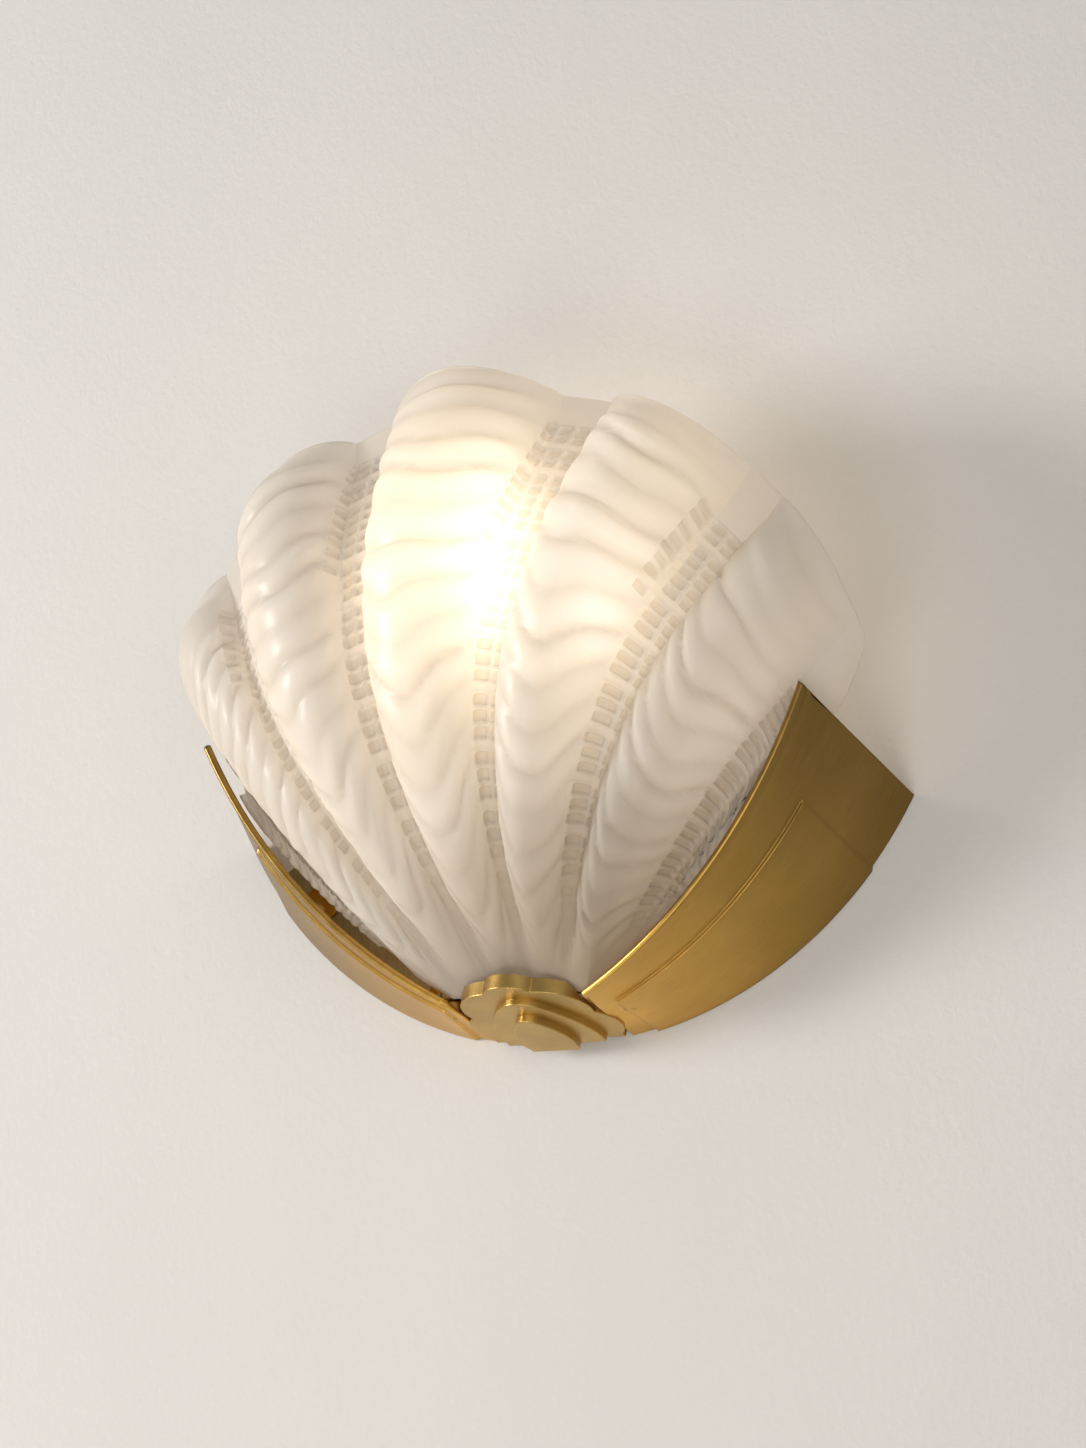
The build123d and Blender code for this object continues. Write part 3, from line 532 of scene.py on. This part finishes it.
def arm_mesh(name, side, material):
    """One cradle arm as a closed profile carried along the arm.

    The profile goes from the wall over the outer face, with the raised field's step, round the
    front bead as an arc, and back along the inner face.
    """
    turn = np.radians(np.linspace(BEAD_FROM, BEAD_TO, BEAD_POINTS))
    t = np.concatenate([np.linspace(0, 1, ARM_ROWS), PANEL_START - EXTRA_ROWS, PANEL_END + EXTRA_ROWS])
    t = np.sort(t)[:, None]
    share = np.concatenate([OUTER_SHARES, np.full(len(turn), 1.0), INNER_SHARES])[None, :] + 0 * t
    start = ARM_START + ARM_START_SLANT * share
    along = start + (1 - start) * t
    outside = np.zeros(share.shape, bool)
    outside[:, :len(OUTER_SHARES)] = True
    field = smooth((PANEL_SHARE + PANEL_EDGE - share) / (2 * PANEL_EDGE))
    field *= smooth((along - PANEL_START) / PANEL_EDGE)
    field *= smooth((PANEL_END + PANEL_EDGE - along) / PANEL_EDGE)
    points, _, _ = arm_points(along, share, np.where(outside, PANEL_HEIGHT * field, -SHEET), side)
    bead = slice(len(OUTER_SHARES), len(OUTER_SHARES) + len(turn))
    drop = np.full(share[:, bead].shape, -BEAD_DROP)
    centre, up, forward = arm_points(along[:, bead], share[:, bead], drop, side)
    turn = turn[None, :, None]
    points[:, bead] = centre + BEAD_RADIUS * (np.cos(turn) * forward + np.sin(turn) * up)
    points[:, (0, -1), 1] = 0.0
    rows, columns = share.shape
    # each end is closed by a fan of triangles round its middle
    everything = np.concatenate([points.reshape(-1, 3), points[[0, -1]].mean(1)])
    ring = np.arange(columns)
    after = (ring + 1) % columns
    top = (rows - 1) * columns
    low = np.stack([np.full(columns, rows * columns), after, ring], 1)
    high = np.stack([np.full(columns, rows * columns + 1), ring + top, after + top], 1)
    uv = np.stack([along * ARM_LENGTH, share * ARM_WIDTH + outside * OUTER_UV_SHIFT], -1).reshape(-1, 2)
    uv = np.concatenate([uv, [[0, 0], [ARM_LENGTH, 0]]])
    quads = grid_quads(rows, columns, closed=True)
    thing = mesh_object(name, everything, quads, np.concatenate([low, high]), uv, [material])
    turn_outward(thing, 1e-7)
    return thing


def block_points(centre, axes, halves, power):
    """Rounded block as a superellipsoid: each coordinate is sign(c) |c|^(1/power) of a unit sphere's."""
    turn = np.linspace(0, 2 * np.pi, 49)[:-1]
    rise = np.linspace(-np.pi / 2, np.pi / 2, 25)[:, None]
    unit = np.stack([np.cos(rise) * np.cos(turn), np.cos(rise) * np.sin(turn), np.sin(rise) + 0 * turn], -1)
    unit = np.sign(unit) * np.abs(unit) ** (1.0 / np.array(power))
    return np.asarray(centre) + (unit * np.asarray(halves)) @ np.asarray(axes)


def arm_lugs(name, side, material):
    """Fixing tabs on the wall plate and the clamp boss inside one arm, as rounded blocks."""
    blocks = []
    for angle in np.radians(TAB_ANGLES):
        reach = REAR_RADIUS - SHEET - TAB_INSET
        centre = (side * reach * np.sin(angle), -TAB_DEPTH, FLOOR + REAR_RADIUS - reach * np.cos(angle))
        along = (np.cos(angle), 0, side * np.sin(angle))
        outward = (side * np.sin(angle), 0, -np.cos(angle))
        blocks.append(block_points(centre, (along, outward, (0, 1, 0)), TAB_HALVES, (6, 6, 3)))
    centre = (side * BOSS_X, -BOSS_DEPTH, FLOOR + BOSS_HEIGHT)
    blocks.append(block_points(centre, np.eye(3), BOSS_HALVES, (1.0, 1.0, 3)))
    points = np.concatenate([block.reshape(-1, 3) for block in blocks])
    rows, columns = blocks[0].shape[:2]
    quads = grid_quads(rows, columns, closed=True)
    quads = np.concatenate([quads + i * rows * columns for i in range(len(blocks))])
    uv = np.stack([0.12 + 0 * points[:, 0], points[:, 2] * MM], -1)
    thing = mesh_object(name, points, quads, (), uv, [material])
    turn_outward(thing, 1e-7)
    return thing


# ---------------- glass
def fan_angle(k):
    """Angle of a flute number about the fan centre, in radians."""
    size = np.abs(k)
    turned = np.minimum(size, SIDE_TURN)
    angle = FAN_STEP * turned - FAN_CLOSING * turned ** 2 + SIDE_CLOSING * (size - turned)
    return np.radians(angle) * np.sign(k)


def glass_base(k, s):
    """Radius and depth of the smooth shell behind the flutes: a cubic curve from the foot to the rim."""
    k = np.abs(k)
    angle = fan_angle(k)
    side = (k / FAN_EDGE) ** 3
    turn = SIDE_DEPTH * smooth((k - SIDE_TURN + SIDE_EASE) / (SIDE_WIDTH + 2 * SIDE_EASE))
    shoulder = np.clip((k - SIDE_TURN) / SIDE_WIDTH, 0, 1)
    rim_r = RIM_RADIUS - RIM_FALL * k ** 2 - RIM_SHOULDER * shoulder ** 2
    rim_d = RIM_DEPTH - RIM_DEPTH_FALL * k ** 2 - turn
    # the foot follows the arms' front arc, at a gap from it, and a level line between the arms
    arc_height = FRONT_ARC_HEIGHT + FAN_DROP
    half = arc_height * np.cos(angle) + FRONT_ARC_X * np.sin(angle)
    inside = half ** 2 - FRONT_ARC_X ** 2 - arc_height ** 2 + (FRONT_ARC_RADIUS - FOOT_GAP) ** 2
    foot_r = np.maximum((FOOT_HEIGHT + FAN_DROP) / np.cos(angle), half - np.sqrt(np.maximum(inside, 0)))
    foot_d = FRONT_DEPTH + DEPTH_PER_X * foot_r * np.sin(angle)
    foot_d += DEPTH_PER_Z * (foot_r * np.cos(angle) - FAN_DROP)
    foot_d -= FOOT_SETBACK + FOOT_SETBACK_MIDDLE * (1 - smooth(k - 1)) + SIDE_FOOT * turn
    length = rim_r - foot_r
    leave, reach = np.radians(LEAVE_ANGLE * (1 - side)), np.radians(REACH_ANGLE - REACH_FALL * side)
    first = (FIRST_ARM - FIRST_ARM_FALL * side) * length
    second = (SECOND_ARM + SECOND_ARM_RISE * side) * length
    r = (foot_r, foot_r + first * np.cos(leave), rim_r - second * np.cos(reach), rim_r)
    d = (foot_d, foot_d + first * np.sin(leave), rim_d + second * np.sin(reach), rim_d)
    w = ((1 - s) ** 3, 3 * s * (1 - s) ** 2, 3 * s ** 2 * (1 - s), s ** 3)
    r, d = sum(a * b for a, b in zip(w, r)), sum(a * b for a, b in zip(w, d))
    # past the last valley the edge of the glass runs up just inside the arm
    share = smooth((k - EDGE_FROM) / (FAN_EDGE - EDGE_FROM))
    edge_r = EDGE_FOOT + (EDGE_RIM - EDGE_FOOT) * s
    return r + (edge_r - r) * share, d + (np.interp(s, EDGE_PLACES, EDGE_DEPTHS) - d) * share


def valley_share(s):
    """Share of a flute's width that is flat valley: wider towards the rim."""
    return VALLEY_SHARE + VALLEY_WIDENING * smooth((s - 0.35) / 0.45)


def flute_width(k, r):
    """Width of one flute at this flute number and radius, in millimetres."""
    return r * np.radians(FAN_STEP - 2 * FAN_CLOSING * np.abs(k))


def cell_width(s, valley):
    """Width of one small square, in flute numbers: 3.4 mm at the foot to 8.2 mm at the rim."""
    r, _ = glass_base(valley, s)
    cell = np.interp(s, SQUARE_HEIGHTS, SQUARE_WIDTHS) / flute_width(valley, r)
    return np.where(np.abs(valley) > 2, np.minimum(cell, SIDE_SQUARE), cell)


def row_number(s):
    """Rows of squares up the shell: 52.2 ln(1 + 1.25 s), so that they get higher towards the rim."""
    return ROW_DENSITY * np.log1p(ROW_GROWTH * s)


def square_rows(s):
    """Place inside a row (0 to 1) and whether there is a row here: pairs or threes with gaps between."""
    above = row_number(s) - row_number(ROWS_FROM)
    place = np.where(above > 0, above % PAIR_PITCH, -above % THREE_PITCH)
    rows = np.where(above > 0, 2, 3)
    return place % 1, place < rows


def swags(k, s):
    """Lift of the swags across the flutes, each up to about 1 high from its foot to its top.

    It is |sin(pi n)|^0.8 where n counts the swags up a flute; they hang lowest on its crest, come closer
    together towards the foot, and fade out in the valleys, at the foot and on the lip.
    """
    across = np.clip(2 * np.abs(k - np.round(k)) / (1 - valley_share(s)), 0, 1)
    hang = SWAG_HANG * (1 - across ** 2)
    count = SWAGS * np.log1p(SWAG_GROWTH * (s + hang)) / np.log1p(SWAG_GROWTH) + FLUTE_SHIFT * np.round(k)
    for size, waves_across, waves_up, start in SWAG_WANDER:
        count = count + size * np.sin(waves_across * k + waves_up * s + start)
    ridge = np.abs(np.sin(np.pi * count)) ** SWAG_ROUNDNESS - SWAG_LEVEL
    tall = SWAG_MEAN + SWAG_SWING * np.sin(SWAG_BEAT * count + FLUTE_BEAT * np.round(k))
    lip = LIP - LIP_FALL * (np.clip(np.abs(k), LIP_FROM, LIP_TO) - LIP_FROM)
    strength = smooth((s - 0.02) / 0.08) * (1 - 0.85 * smooth((s - lip + 0.10) / 0.12))
    strength = strength * (0.06 + 0.94 * smooth((1 - across) / 0.22)) * (0.38 + 0.62 * s)
    return ridge * tall * strength


def squares(k, s):
    """Lift of the small squares in the valleys: -1 on the floor of each, above 0 on its raised frame.

    The edge value (u^6 + v^6)^(1/6) grows from 0 in the middle of a square to 1 at its border. There are
    four columns near the rim and two lower down.
    """
    valley = np.floor(k) + 0.5
    column = (k - valley) / cell_width(s, valley)
    flank = 1 + (np.abs(column) - 1) / FLANK_CELL
    column = np.sign(column) * np.where(np.abs(column) > 1, flank, np.abs(column))
    outer = np.abs(valley) > 2
    first = np.where(outer | (s < OUTER_LEFT_FROM), -1, -2)
    last = np.where(outer | (s < OUTER_RIGHT_FROM), 1, 2)
    inside, row = square_rows(s)
    top = SQUARES_TOP - SQUARES_TOP_FALL * (np.abs(valley) - 0.5)
    there = (column > first) & (column < last) & row & (s < top)
    u = np.abs(column % 1 - 0.5) * 2
    v = np.abs(inside - 0.5) * 2
    edge = (u ** 6 + v ** 6) ** (1 / 6)
    frame_round = FRAME_HEIGHT * smooth((edge - 0.70) / 0.14) * smooth((1.02 - edge) / 0.14)
    return (frame_round - smooth((0.84 - edge) / 0.22)) * there * smooth((s - 0.06) / 0.16)


def glass_points(k, s, inside):
    """Points of one face of the shell: each flute is a deep rounded rib between flat valleys."""
    r, d = glass_base(k, s)
    r2, d2 = glass_base(k, s + 0.001)
    step = np.hypot(r2 - r, d2 - d)
    along_r, along_d = (r2 - r) / step, (d2 - d) / step
    size = np.abs(k)
    share = valley_share(s)
    if inside:
        share = share + np.minimum(INNER_VALLEY * GLASS_WALL / flute_width(k, r), INNER_VALLEY_MOST)
    across = np.minimum(2 * np.abs(k - np.round(k)) / (1 - share), 1)
    least = FLANK_EASE ** RIB_ROUNDNESS
    bulge = ((1 - across ** 2 + FLANK_EASE) ** RIB_ROUNDNESS - least) / (1 - least)
    height = RIB_HEIGHT * (np.maximum(r - RIB_FOOT_RADIUS, 1) / RIB_FULL_RADIUS) ** RIB_GROWTH * bulge
    height = height * smooth(s / 0.14) * (1 - smooth((size - SIDE_TURN) / SIDE_WIDTH))
    height = height * (1 - smooth((s - 0.8) / 0.2) * (0.05 + 0.42 * np.minimum(size, 1.5)))
    if inside:
        height = height - (GLASS_WALL - RIM_THINNING * smooth((s - 0.93) / 0.07))
    r, d = r - height * along_d, d + height * along_r
    angle = fan_angle(k)
    return np.stack([r * np.sin(angle), -d, FLOOR - FAN_DROP + r * np.cos(angle)], -1)


def shell_rows():
    """Heights of the mesh's rows: they follow the edges of the rows of squares."""
    lines = np.array(CELL_LINES)
    start = row_number(ROWS_FROM)
    pairs = np.concatenate([lines, 1 + lines, (2, 2.25)])
    threes = np.concatenate([lines, 1 + lines, 2 + lines, (3, 3.25)])
    up = start + (PAIR_PITCH * np.arange(8)[:, None] + pairs).ravel()
    down = start - (THREE_PITCH * np.arange(12)[:, None] + threes).ravel()
    rows = np.expm1(np.concatenate([up, down[1:]]) / ROW_DENSITY) / ROW_GROWTH
    rows = rows[(rows > 0.065) & (rows < 0.90)]
    return np.sort(np.concatenate([np.linspace(0, 0.06, 8), rows, np.linspace(0.905, 1, 14)]))[:, None]


def flute_columns(s):
    """Flute numbers of the mesh's columns at each height: they follow the edges of the squares."""
    lines = np.array(CELL_LINES)
    crest = 0.5 - 0.5 * np.cos(np.pi * np.linspace(0.12, 0.88, 21))
    crest = ((crest - crest[0]) / (crest[-1] - crest[0]))[1:-1]
    side = np.linspace(0, 1, 6)
    before = np.full(s.shape, -FAN_EDGE)
    blocks = [before]
    for valley in (-2.5, -1.5, -0.5, 0.5, 1.5, 2.5):
        cells = (-1, 0) if abs(valley) > 2 else (-2, -1, 0, 1)
        places = np.append(np.concatenate([cell + lines for cell in cells]), cells[-1] + 1)
        past = np.maximum(np.abs(places) - 1, 0)
        places = np.sign(places) * (np.minimum(np.abs(places), 1) + FLANK_CELL * past)
        zone = valley + places[None, :] * cell_width(s, np.full(s.shape, valley))
        steps = side[1:-1] if valley == -2.5 else crest
        blocks.append(before + steps[None, :] * (zone[:, :1] - before))
        blocks.append(zone)
        before = zone[:, -1:]
    blocks.append(before + side[None, 1:] * (FAN_EDGE - before))
    return np.concatenate(blocks, axis=1)


def shade_mesh(settings):
    """The glass shade's grid of points with its quads, UVs and relief in millimetres.

    The outer and inner faces have like columns and are joined along the foot and round the rim.
    """
    s_out = shell_rows()
    s_in = np.linspace(0, 1, 44)[:, None]
    k_out, k_in = flute_columns(s_out), flute_columns(s_in)
    outer = glass_points(k_out, s_out + 0 * k_out, False)
    inner = glass_points(k_in, s_in + 0 * k_in, True)
    normal = np.cross(np.gradient(outer, axis=1), np.gradient(outer, axis=0))
    normal /= np.maximum(np.linalg.norm(normal, axis=-1, keepdims=True), 1e-9)
    normal *= -np.sign(np.mean(normal[..., 1]))
    heights = s_out + 0 * k_out
    relief = settings.ripple_height / MM * swags(k_out, heights)
    relief = relief + settings.pit_depth / MM * squares(k_out, heights)
    outer = outer + normal * relief[..., None]
    # the rim is rounded: three rows of points rise a little past both faces
    lift = outer[-1] - outer[-3]
    lift = lift / np.linalg.norm(lift, axis=-1, keepdims=True)
    rim = np.stack([(1 - share) * outer[-1] + share * inner[-1] + rise * lift for share, rise in RIM_ROWS])
    ring = np.concatenate([outer, rim, inner[::-1]])
    rows, columns = ring.shape[:2]
    quads = grid_quads(rows, columns)
    first, last = np.arange(columns - 1), (rows - 1) * columns
    foot = np.stack([first, first + 1, first + 1 + last, first + last], 1)[:, ::-1]
    is_inner = np.repeat(np.arange(rows - 1) >= len(outer) + 1, columns - 1)
    heights = np.concatenate([s_out, np.ones((len(rim), 1)), s_in[::-1]])
    numbers = np.concatenate([k_out, np.repeat(k_out[-1:], len(rim), 0), k_in[::-1]])
    uv = np.stack([0.5 + numbers / (2 * FAN_EDGE), heights + 0 * numbers], -1).reshape(-1, 2)
    relief = np.concatenate([relief, np.zeros((rows - len(outer), columns))]).ravel()
    return ring, quads, foot, is_inner, uv, relief


# ---------------- operators
class SCONCE_OT_shade(bpy.types.Operator):
    """Make the fluted glass shade"""
    bl_idname = "sconce.shade"
    bl_label = "Glass shade"

    def execute(self, context):
        settings = context.scene.sconce_shade
        ring, quads, foot, is_inner, uv, relief = shade_mesh(settings)
        outer_skin = frosted_glass("frosted_glass_outside", settings, 0.06)
        inner_skin = frosted_glass("frosted_glass_inside", settings, 0.55)
        index = np.concatenate([is_inner.astype(int), np.zeros(len(foot), int)])
        shade = mesh_object("shell_shade", ring.reshape(-1, 3), np.concatenate([quads, foot]), (), uv,
                            [outer_skin, inner_skin], index)
        layer = shade.data.attributes.new("relief", "FLOAT", "POINT")
        layer.data.foreach_set("value", relief.astype(np.float32))
        turn_outward(shade, 1e-6, fill=True)
        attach(shade, "shade")
        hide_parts("glass_shade")
        return {"FINISHED"}


# painted reflection on the brass of an arm from cap to tip, as factors of its colour: bright near the cap,
# dark towards the tip
ARM_PAINTED_REFLECTION = ((0.10, (1.85, 1.66, 1.20)), (0.34, (1.40, 1.24, 0.95)), (0.62, (0.90, 0.82, 0.62)),
             (1.0, (0.60, 0.56, 0.50)))


class SCONCE_OT_cradle(bpy.types.Operator):
    """Make the brass cradle arms and finish the cap"""
    bl_idname = "sconce.cradle"
    bl_label = "Brass cradle"

    def execute(self, context):
        settings = context.scene.sconce_brass
        colour = tuple(settings.colour)
        arm_brass = brushed_metal("brushed_brass_arm", colour, settings.roughness, "UV",
                                  (60, 4200, 1), (8, 22, 1), ARM_PAINTED_REFLECTION)
        cap_colour = tuple(1.25 * c for c in colour)
        cap_brass = brushed_metal("brushed_brass_cap", cap_colour, settings.roughness, "Object",
                                  (160, 4200, 4200), (30, 30, 30))
        for side, hand in ((1, "right"), (-1, "left")):
            arm = arm_mesh(f"{hand}_cradle_arm", side, arm_brass)
            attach(arm, "root")
            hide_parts(f"{hand}_arm")
            lugs = arm_lugs(f"{hand}_arm_lugs", side, arm_brass)
            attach(lugs, "root")
        paint(("cap_scallop_plate", "cap_middle_step", "cap_tongue"), cap_brass)
        return {"FINISHED"}


def paint(nodes, material):
    """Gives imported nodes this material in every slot."""
    for node in nodes:
        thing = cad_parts[node]
        if not thing.material_slots:
            thing.data.materials.append(material)
        for place in thing.material_slots:
            place.material = material


class SCONCE_OT_lamp(bpy.types.Operator):
    """Finish the bulb, its lampholder and the wiring"""
    bl_idname = "sconce.lamp"
    bl_label = "Lamp and wiring"

    def execute(self, context):
        metals = (
            ("zinc_plated_steel", (0.60, 0.61, 0.62), 0.36, (900, 900, 90), 40,
             ("wall_plate", "clamp_bar", "lampholder_bracket", "cap_stud", "cap_nut", "arm_screws",
              "clamp_screws", "bracket_screws", "earth_screw")),
            ("turned_brass", (0.76, 0.58, 0.28), 0.28, (300, 300, 3500), 30,
             ("screw_shell", "centre_contact", "nipple", "nipple_nut", "terminal_screws", "earth_tag")),
            ("nickel_cap", (0.72, 0.71, 0.70), 0.25, (200, 200, 2800), 30, ("bulb_cap",)),
        )
        for name, colour, roughness, grain, cloud, nodes in metals:
            paint(nodes, brushed_metal(name, colour, roughness, "Object", grain, (cloud, cloud, cloud)))
        fine, coarse = 0.00003, 0.00008
        mouldings = (
            ("ivory_plastic", (0.80, 0.76, 0.66), 0.35, fine,
             ("lampholder_cup", "lampholder_sleeve", "terminal_block")),
            ("unglazed_ceramic", (0.82, 0.80, 0.76), 0.7, coarse, ("lampholder_core",)),
            ("clear_silicone", (0.74, 0.73, 0.69), 0.55, fine, ("foot_seat", "arm_pads", "cable_grommet")),
            ("black_insulator", (0.02, 0.02, 0.022), 0.3, fine, ("bulb_contact",)),
        )
        for name, colour, roughness, depth, nodes in mouldings:
            paint(nodes, plain_material(name, colour, roughness, depth))
        leads = ("live", (0.16, 0.07, 0.035)), ("neutral", (0.03, 0.09, 0.30)), ("earth", (0.12, 0.34, 0.04))
        for name, colour in leads:
            paint((f"{name}_lead",), plain_material(f"{name}_lead_insulation", colour, 0.45, fine))
        lit = (("lit_opal_glass", 1.6, "bulb_envelope"), ("lit_stem_glass", 1.0, "bulb_stem"),
               ("lit_filament", 2.5, "bulb_filaments"))
        for name, strength, node in lit:
            paint((node,), lit_opal(name, strength))
        return {"FINISHED"}


def lit_opal(name, strength):
    """Opal glass with the light on: brightest round its middle, duller at its foot and tip."""
    material, tree = new_material(name)
    shader = principled(tree, Roughness=0.2)
    level = glow_value(tree, BULB, (60, 60, 60), 0.7)
    shader.inputs["Base Color"].default_value = (0.9, 0.86, 0.78, 1.0)
    warm = ramp(tree, level, ((0.0, (1.0, 0.72, 0.42)), (1.0, (1.0, 0.90, 0.72))))
    tree.links.new(warm, shader.inputs["Emission Color"])
    tree.links.new(to_range(tree, level, 0.6 * strength, strength), shader.inputs["Emission Strength"])
    return material


class SCONCE_OT_stage(bpy.types.Operator):
    """Make the wall, the floor, the lights and the camera"""
    bl_idname = "sconce.stage"
    bl_label = "Stage"

    def execute(self, context):
        settings = context.scene.sconce_stage
        scene = context.scene
        scene.view_settings.view_transform = "Standard"
        wall_material = plaster("plaster_wall", tuple(settings.wall_colour), True)
        floor_material = plaster("pale_floor", (0.62, 0.60, 0.57), False)
        wall = flat_piece("stage_wall", WALL_CORNERS, wall_material)
        floor = flat_piece("stage_floor", FLOOR_CORNERS, floor_material)
        for name, place, target, size, power, colour in LIGHTS:
            lamp = add_light(name, "AREA", power, colour)
            lamp.data.size = size
            away = np.array(place, float) - np.array(target, float)
            lamp.matrix_world = looking(place, away / np.linalg.norm(away))
        bulb = add_light("bulb_light", "POINT", settings.bulb_power, BULB_COLOUR)
        bulb.data.shadow_soft_size = BULB_SIZE
        bulb.location = tuple(MM * c for c in LIGHT)
        world = bpy.data.worlds.new("studio")
        world.use_nodes = True
        background = world.node_tree.nodes["Background"]
        background.inputs["Color"].default_value = WORLD_COLOUR
        background.inputs["Strength"].default_value = WORLD_STRENGTH
        scene.world = world
        make_camera(scene)
        return {"FINISHED"}


def flat_piece(name, corners, material):
    """A rectangle between two opposite corners, in millimetres, with its first edge along x."""
    (x0, y0, z0), (x1, y1, z1) = corners
    points = [(x0, y0, z0), (x1, y0, z0), (x1, y1, z1), (x0, y1, z1)]
    return mesh_object(name, points, [[0, 1, 2, 3]], materials=[material], sharp=True)


def plate_share(tree):
    """1 where the wall plate hides the wall and 0 elsewhere."""
    place = split_axes(tree, tree.nodes.new("ShaderNodeTexCoord").outputs["Object"])
    side = maths(tree, "ABSOLUTE", place["X"])
    height = place["Z"]
    above = maths(tree, "SUBTRACT", height, MM * (FLOOR + REAR_RADIUS))
    away = maths(tree, "ADD", maths(tree, "MULTIPLY", side, side),
                 maths(tree, "MULTIPLY", above, above))
    below_all = -1.0
    parts = [((side, below_all, width), (height, low, high)) for width, low, high in PLATE_BARS]
    parts.append(((away, PLATE_RING_INNER ** 2, PLATE_RING_OUTER ** 2), (height, below_all, PLATE_RING_TOP)))
    share = 0.0
    for tests in parts:
        inside = 1.0
        for value, low, high in tests:
            inside = maths(tree, "MULTIPLY", maths(tree, "GREATER_THAN", value, low), inside)
            inside = maths(tree, "MULTIPLY", maths(tree, "LESS_THAN", value, high), inside)
        share = maths(tree, "MAXIMUM", inside, share)
    return share


def plaster(name, colour, is_wall):
    """Fine plaster with faint clouds and a soft grain.

    The wall lets views from behind through, and has an opening where the plate covers it.
    """
    material, tree = new_material(name)
    output = tree.nodes[0]
    shader = principled(tree, Roughness=0.9, Specular_IOR_Level=0.2)
    place = coordinates(tree, "Object", (2, 2, 2))
    clouds = noise(tree, place, 2.5, 4.0)
    fine = noise(tree, place, 130.0, 5.0, 0.62)
    tree.links.new(clouded(tree, clouds, colour, 0.97, 1.0), shader.inputs["Base Color"])
    tree.links.new(bump(tree, fine, 0.0012, 0.35), shader.inputs["Normal"])
    if is_wall:
        behind = tree.nodes.new("ShaderNodeNewGeometry").outputs["Backfacing"]
        gone = maths(tree, "MAXIMUM", behind, plate_share(tree))
        see = tree.nodes.new("ShaderNodeBsdfTransparent")
        wall = mix_shaders(tree, gone, shader.outputs["BSDF"], see.outputs["BSDF"])
        tree.links.new(wall, output.inputs["Surface"])
    return material


def looking(place, back):
    """Matrix of a light or camera at a place, level, with this unit vector behind it."""
    right = np.cross((0, 0, 1), back)
    right /= np.linalg.norm(right)
    up = np.cross(back, right)
    return Matrix([[right[i], up[i], back[i], place[i]] for i in range(3)] + [[0, 0, 0, 1]])


def add_light(name, kind, power, colour):
    """A light of this kind, power in watts and colour."""
    data = bpy.data.lights.new(name, kind)
    data.energy = power
    data.color = colour
    thing = bpy.data.objects.new(name, data)
    bpy.context.scene.collection.objects.link(thing)
    return thing


def make_camera(scene):
    """The photograph's camera: right of the light and a little below it."""
    azimuth, elevation = np.radians(CAMERA_AZIMUTH), np.radians(CAMERA_ELEVATION)
    level = np.cos(elevation)
    back = np.array([np.sin(azimuth) * level, -np.cos(azimuth) * level, np.sin(elevation)])
    data = bpy.data.cameras.new("camera")
    data.sensor_width = CAMERA_SENSOR
    data.lens = CAMERA_LENS
    data.clip_start = 0.01
    camera = bpy.data.objects.new("camera", data)
    camera.matrix_world = looking(CAMERA_PLACE, back)
    scene.collection.objects.link(camera)
    scene.camera = camera


class SCONCE_PT_panel(bpy.types.Panel):
    """Sidebar panel of the shell wall sconce"""
    bl_idname = "SCONCE_PT_panel"
    bl_label = "Shell wall sconce"
    bl_space_type = "VIEW_3D"
    bl_region_type = "UI"
    bl_category = "Sconce"

    def draw(self, context):
        layout = self.layout
        for name in ("cradle", "shade", "lamp", "stage"):
            layout.operator(f"sconce.{name}")
        for name, group in GROUPS.items():
            for key in group.__annotations__:
                layout.prop(getattr(context.scene, name), key)


GROUPS = {
    "sconce_shade": SconceShadeSettings,
    "sconce_brass": SconceBrassSettings,
    "sconce_stage": SconceStageSettings,
}
OPERATORS = (SCONCE_OT_cradle, SCONCE_OT_shade, SCONCE_OT_lamp, SCONCE_OT_stage)


def register():
    for name, group in GROUPS.items():
        bpy.utils.register_class(group)
        setattr(bpy.types.Scene, name, bpy.props.PointerProperty(type=group))
    for operator in OPERATORS:
        bpy.utils.register_class(operator)
    bpy.utils.register_class(SCONCE_PT_panel)


def unregister():
    bpy.utils.unregister_class(SCONCE_PT_panel)
    for operator in reversed(OPERATORS):
        bpy.utils.unregister_class(operator)
    for name, group in reversed(GROUPS.items()):
        delattr(bpy.types.Scene, name)
        bpy.utils.unregister_class(group)


def main():
    register()
    bpy.ops.sconce.cradle()
    bpy.ops.sconce.shade()
    bpy.ops.sconce.lamp()
    bpy.ops.sconce.stage()


if __name__ == "__main__":
    main()
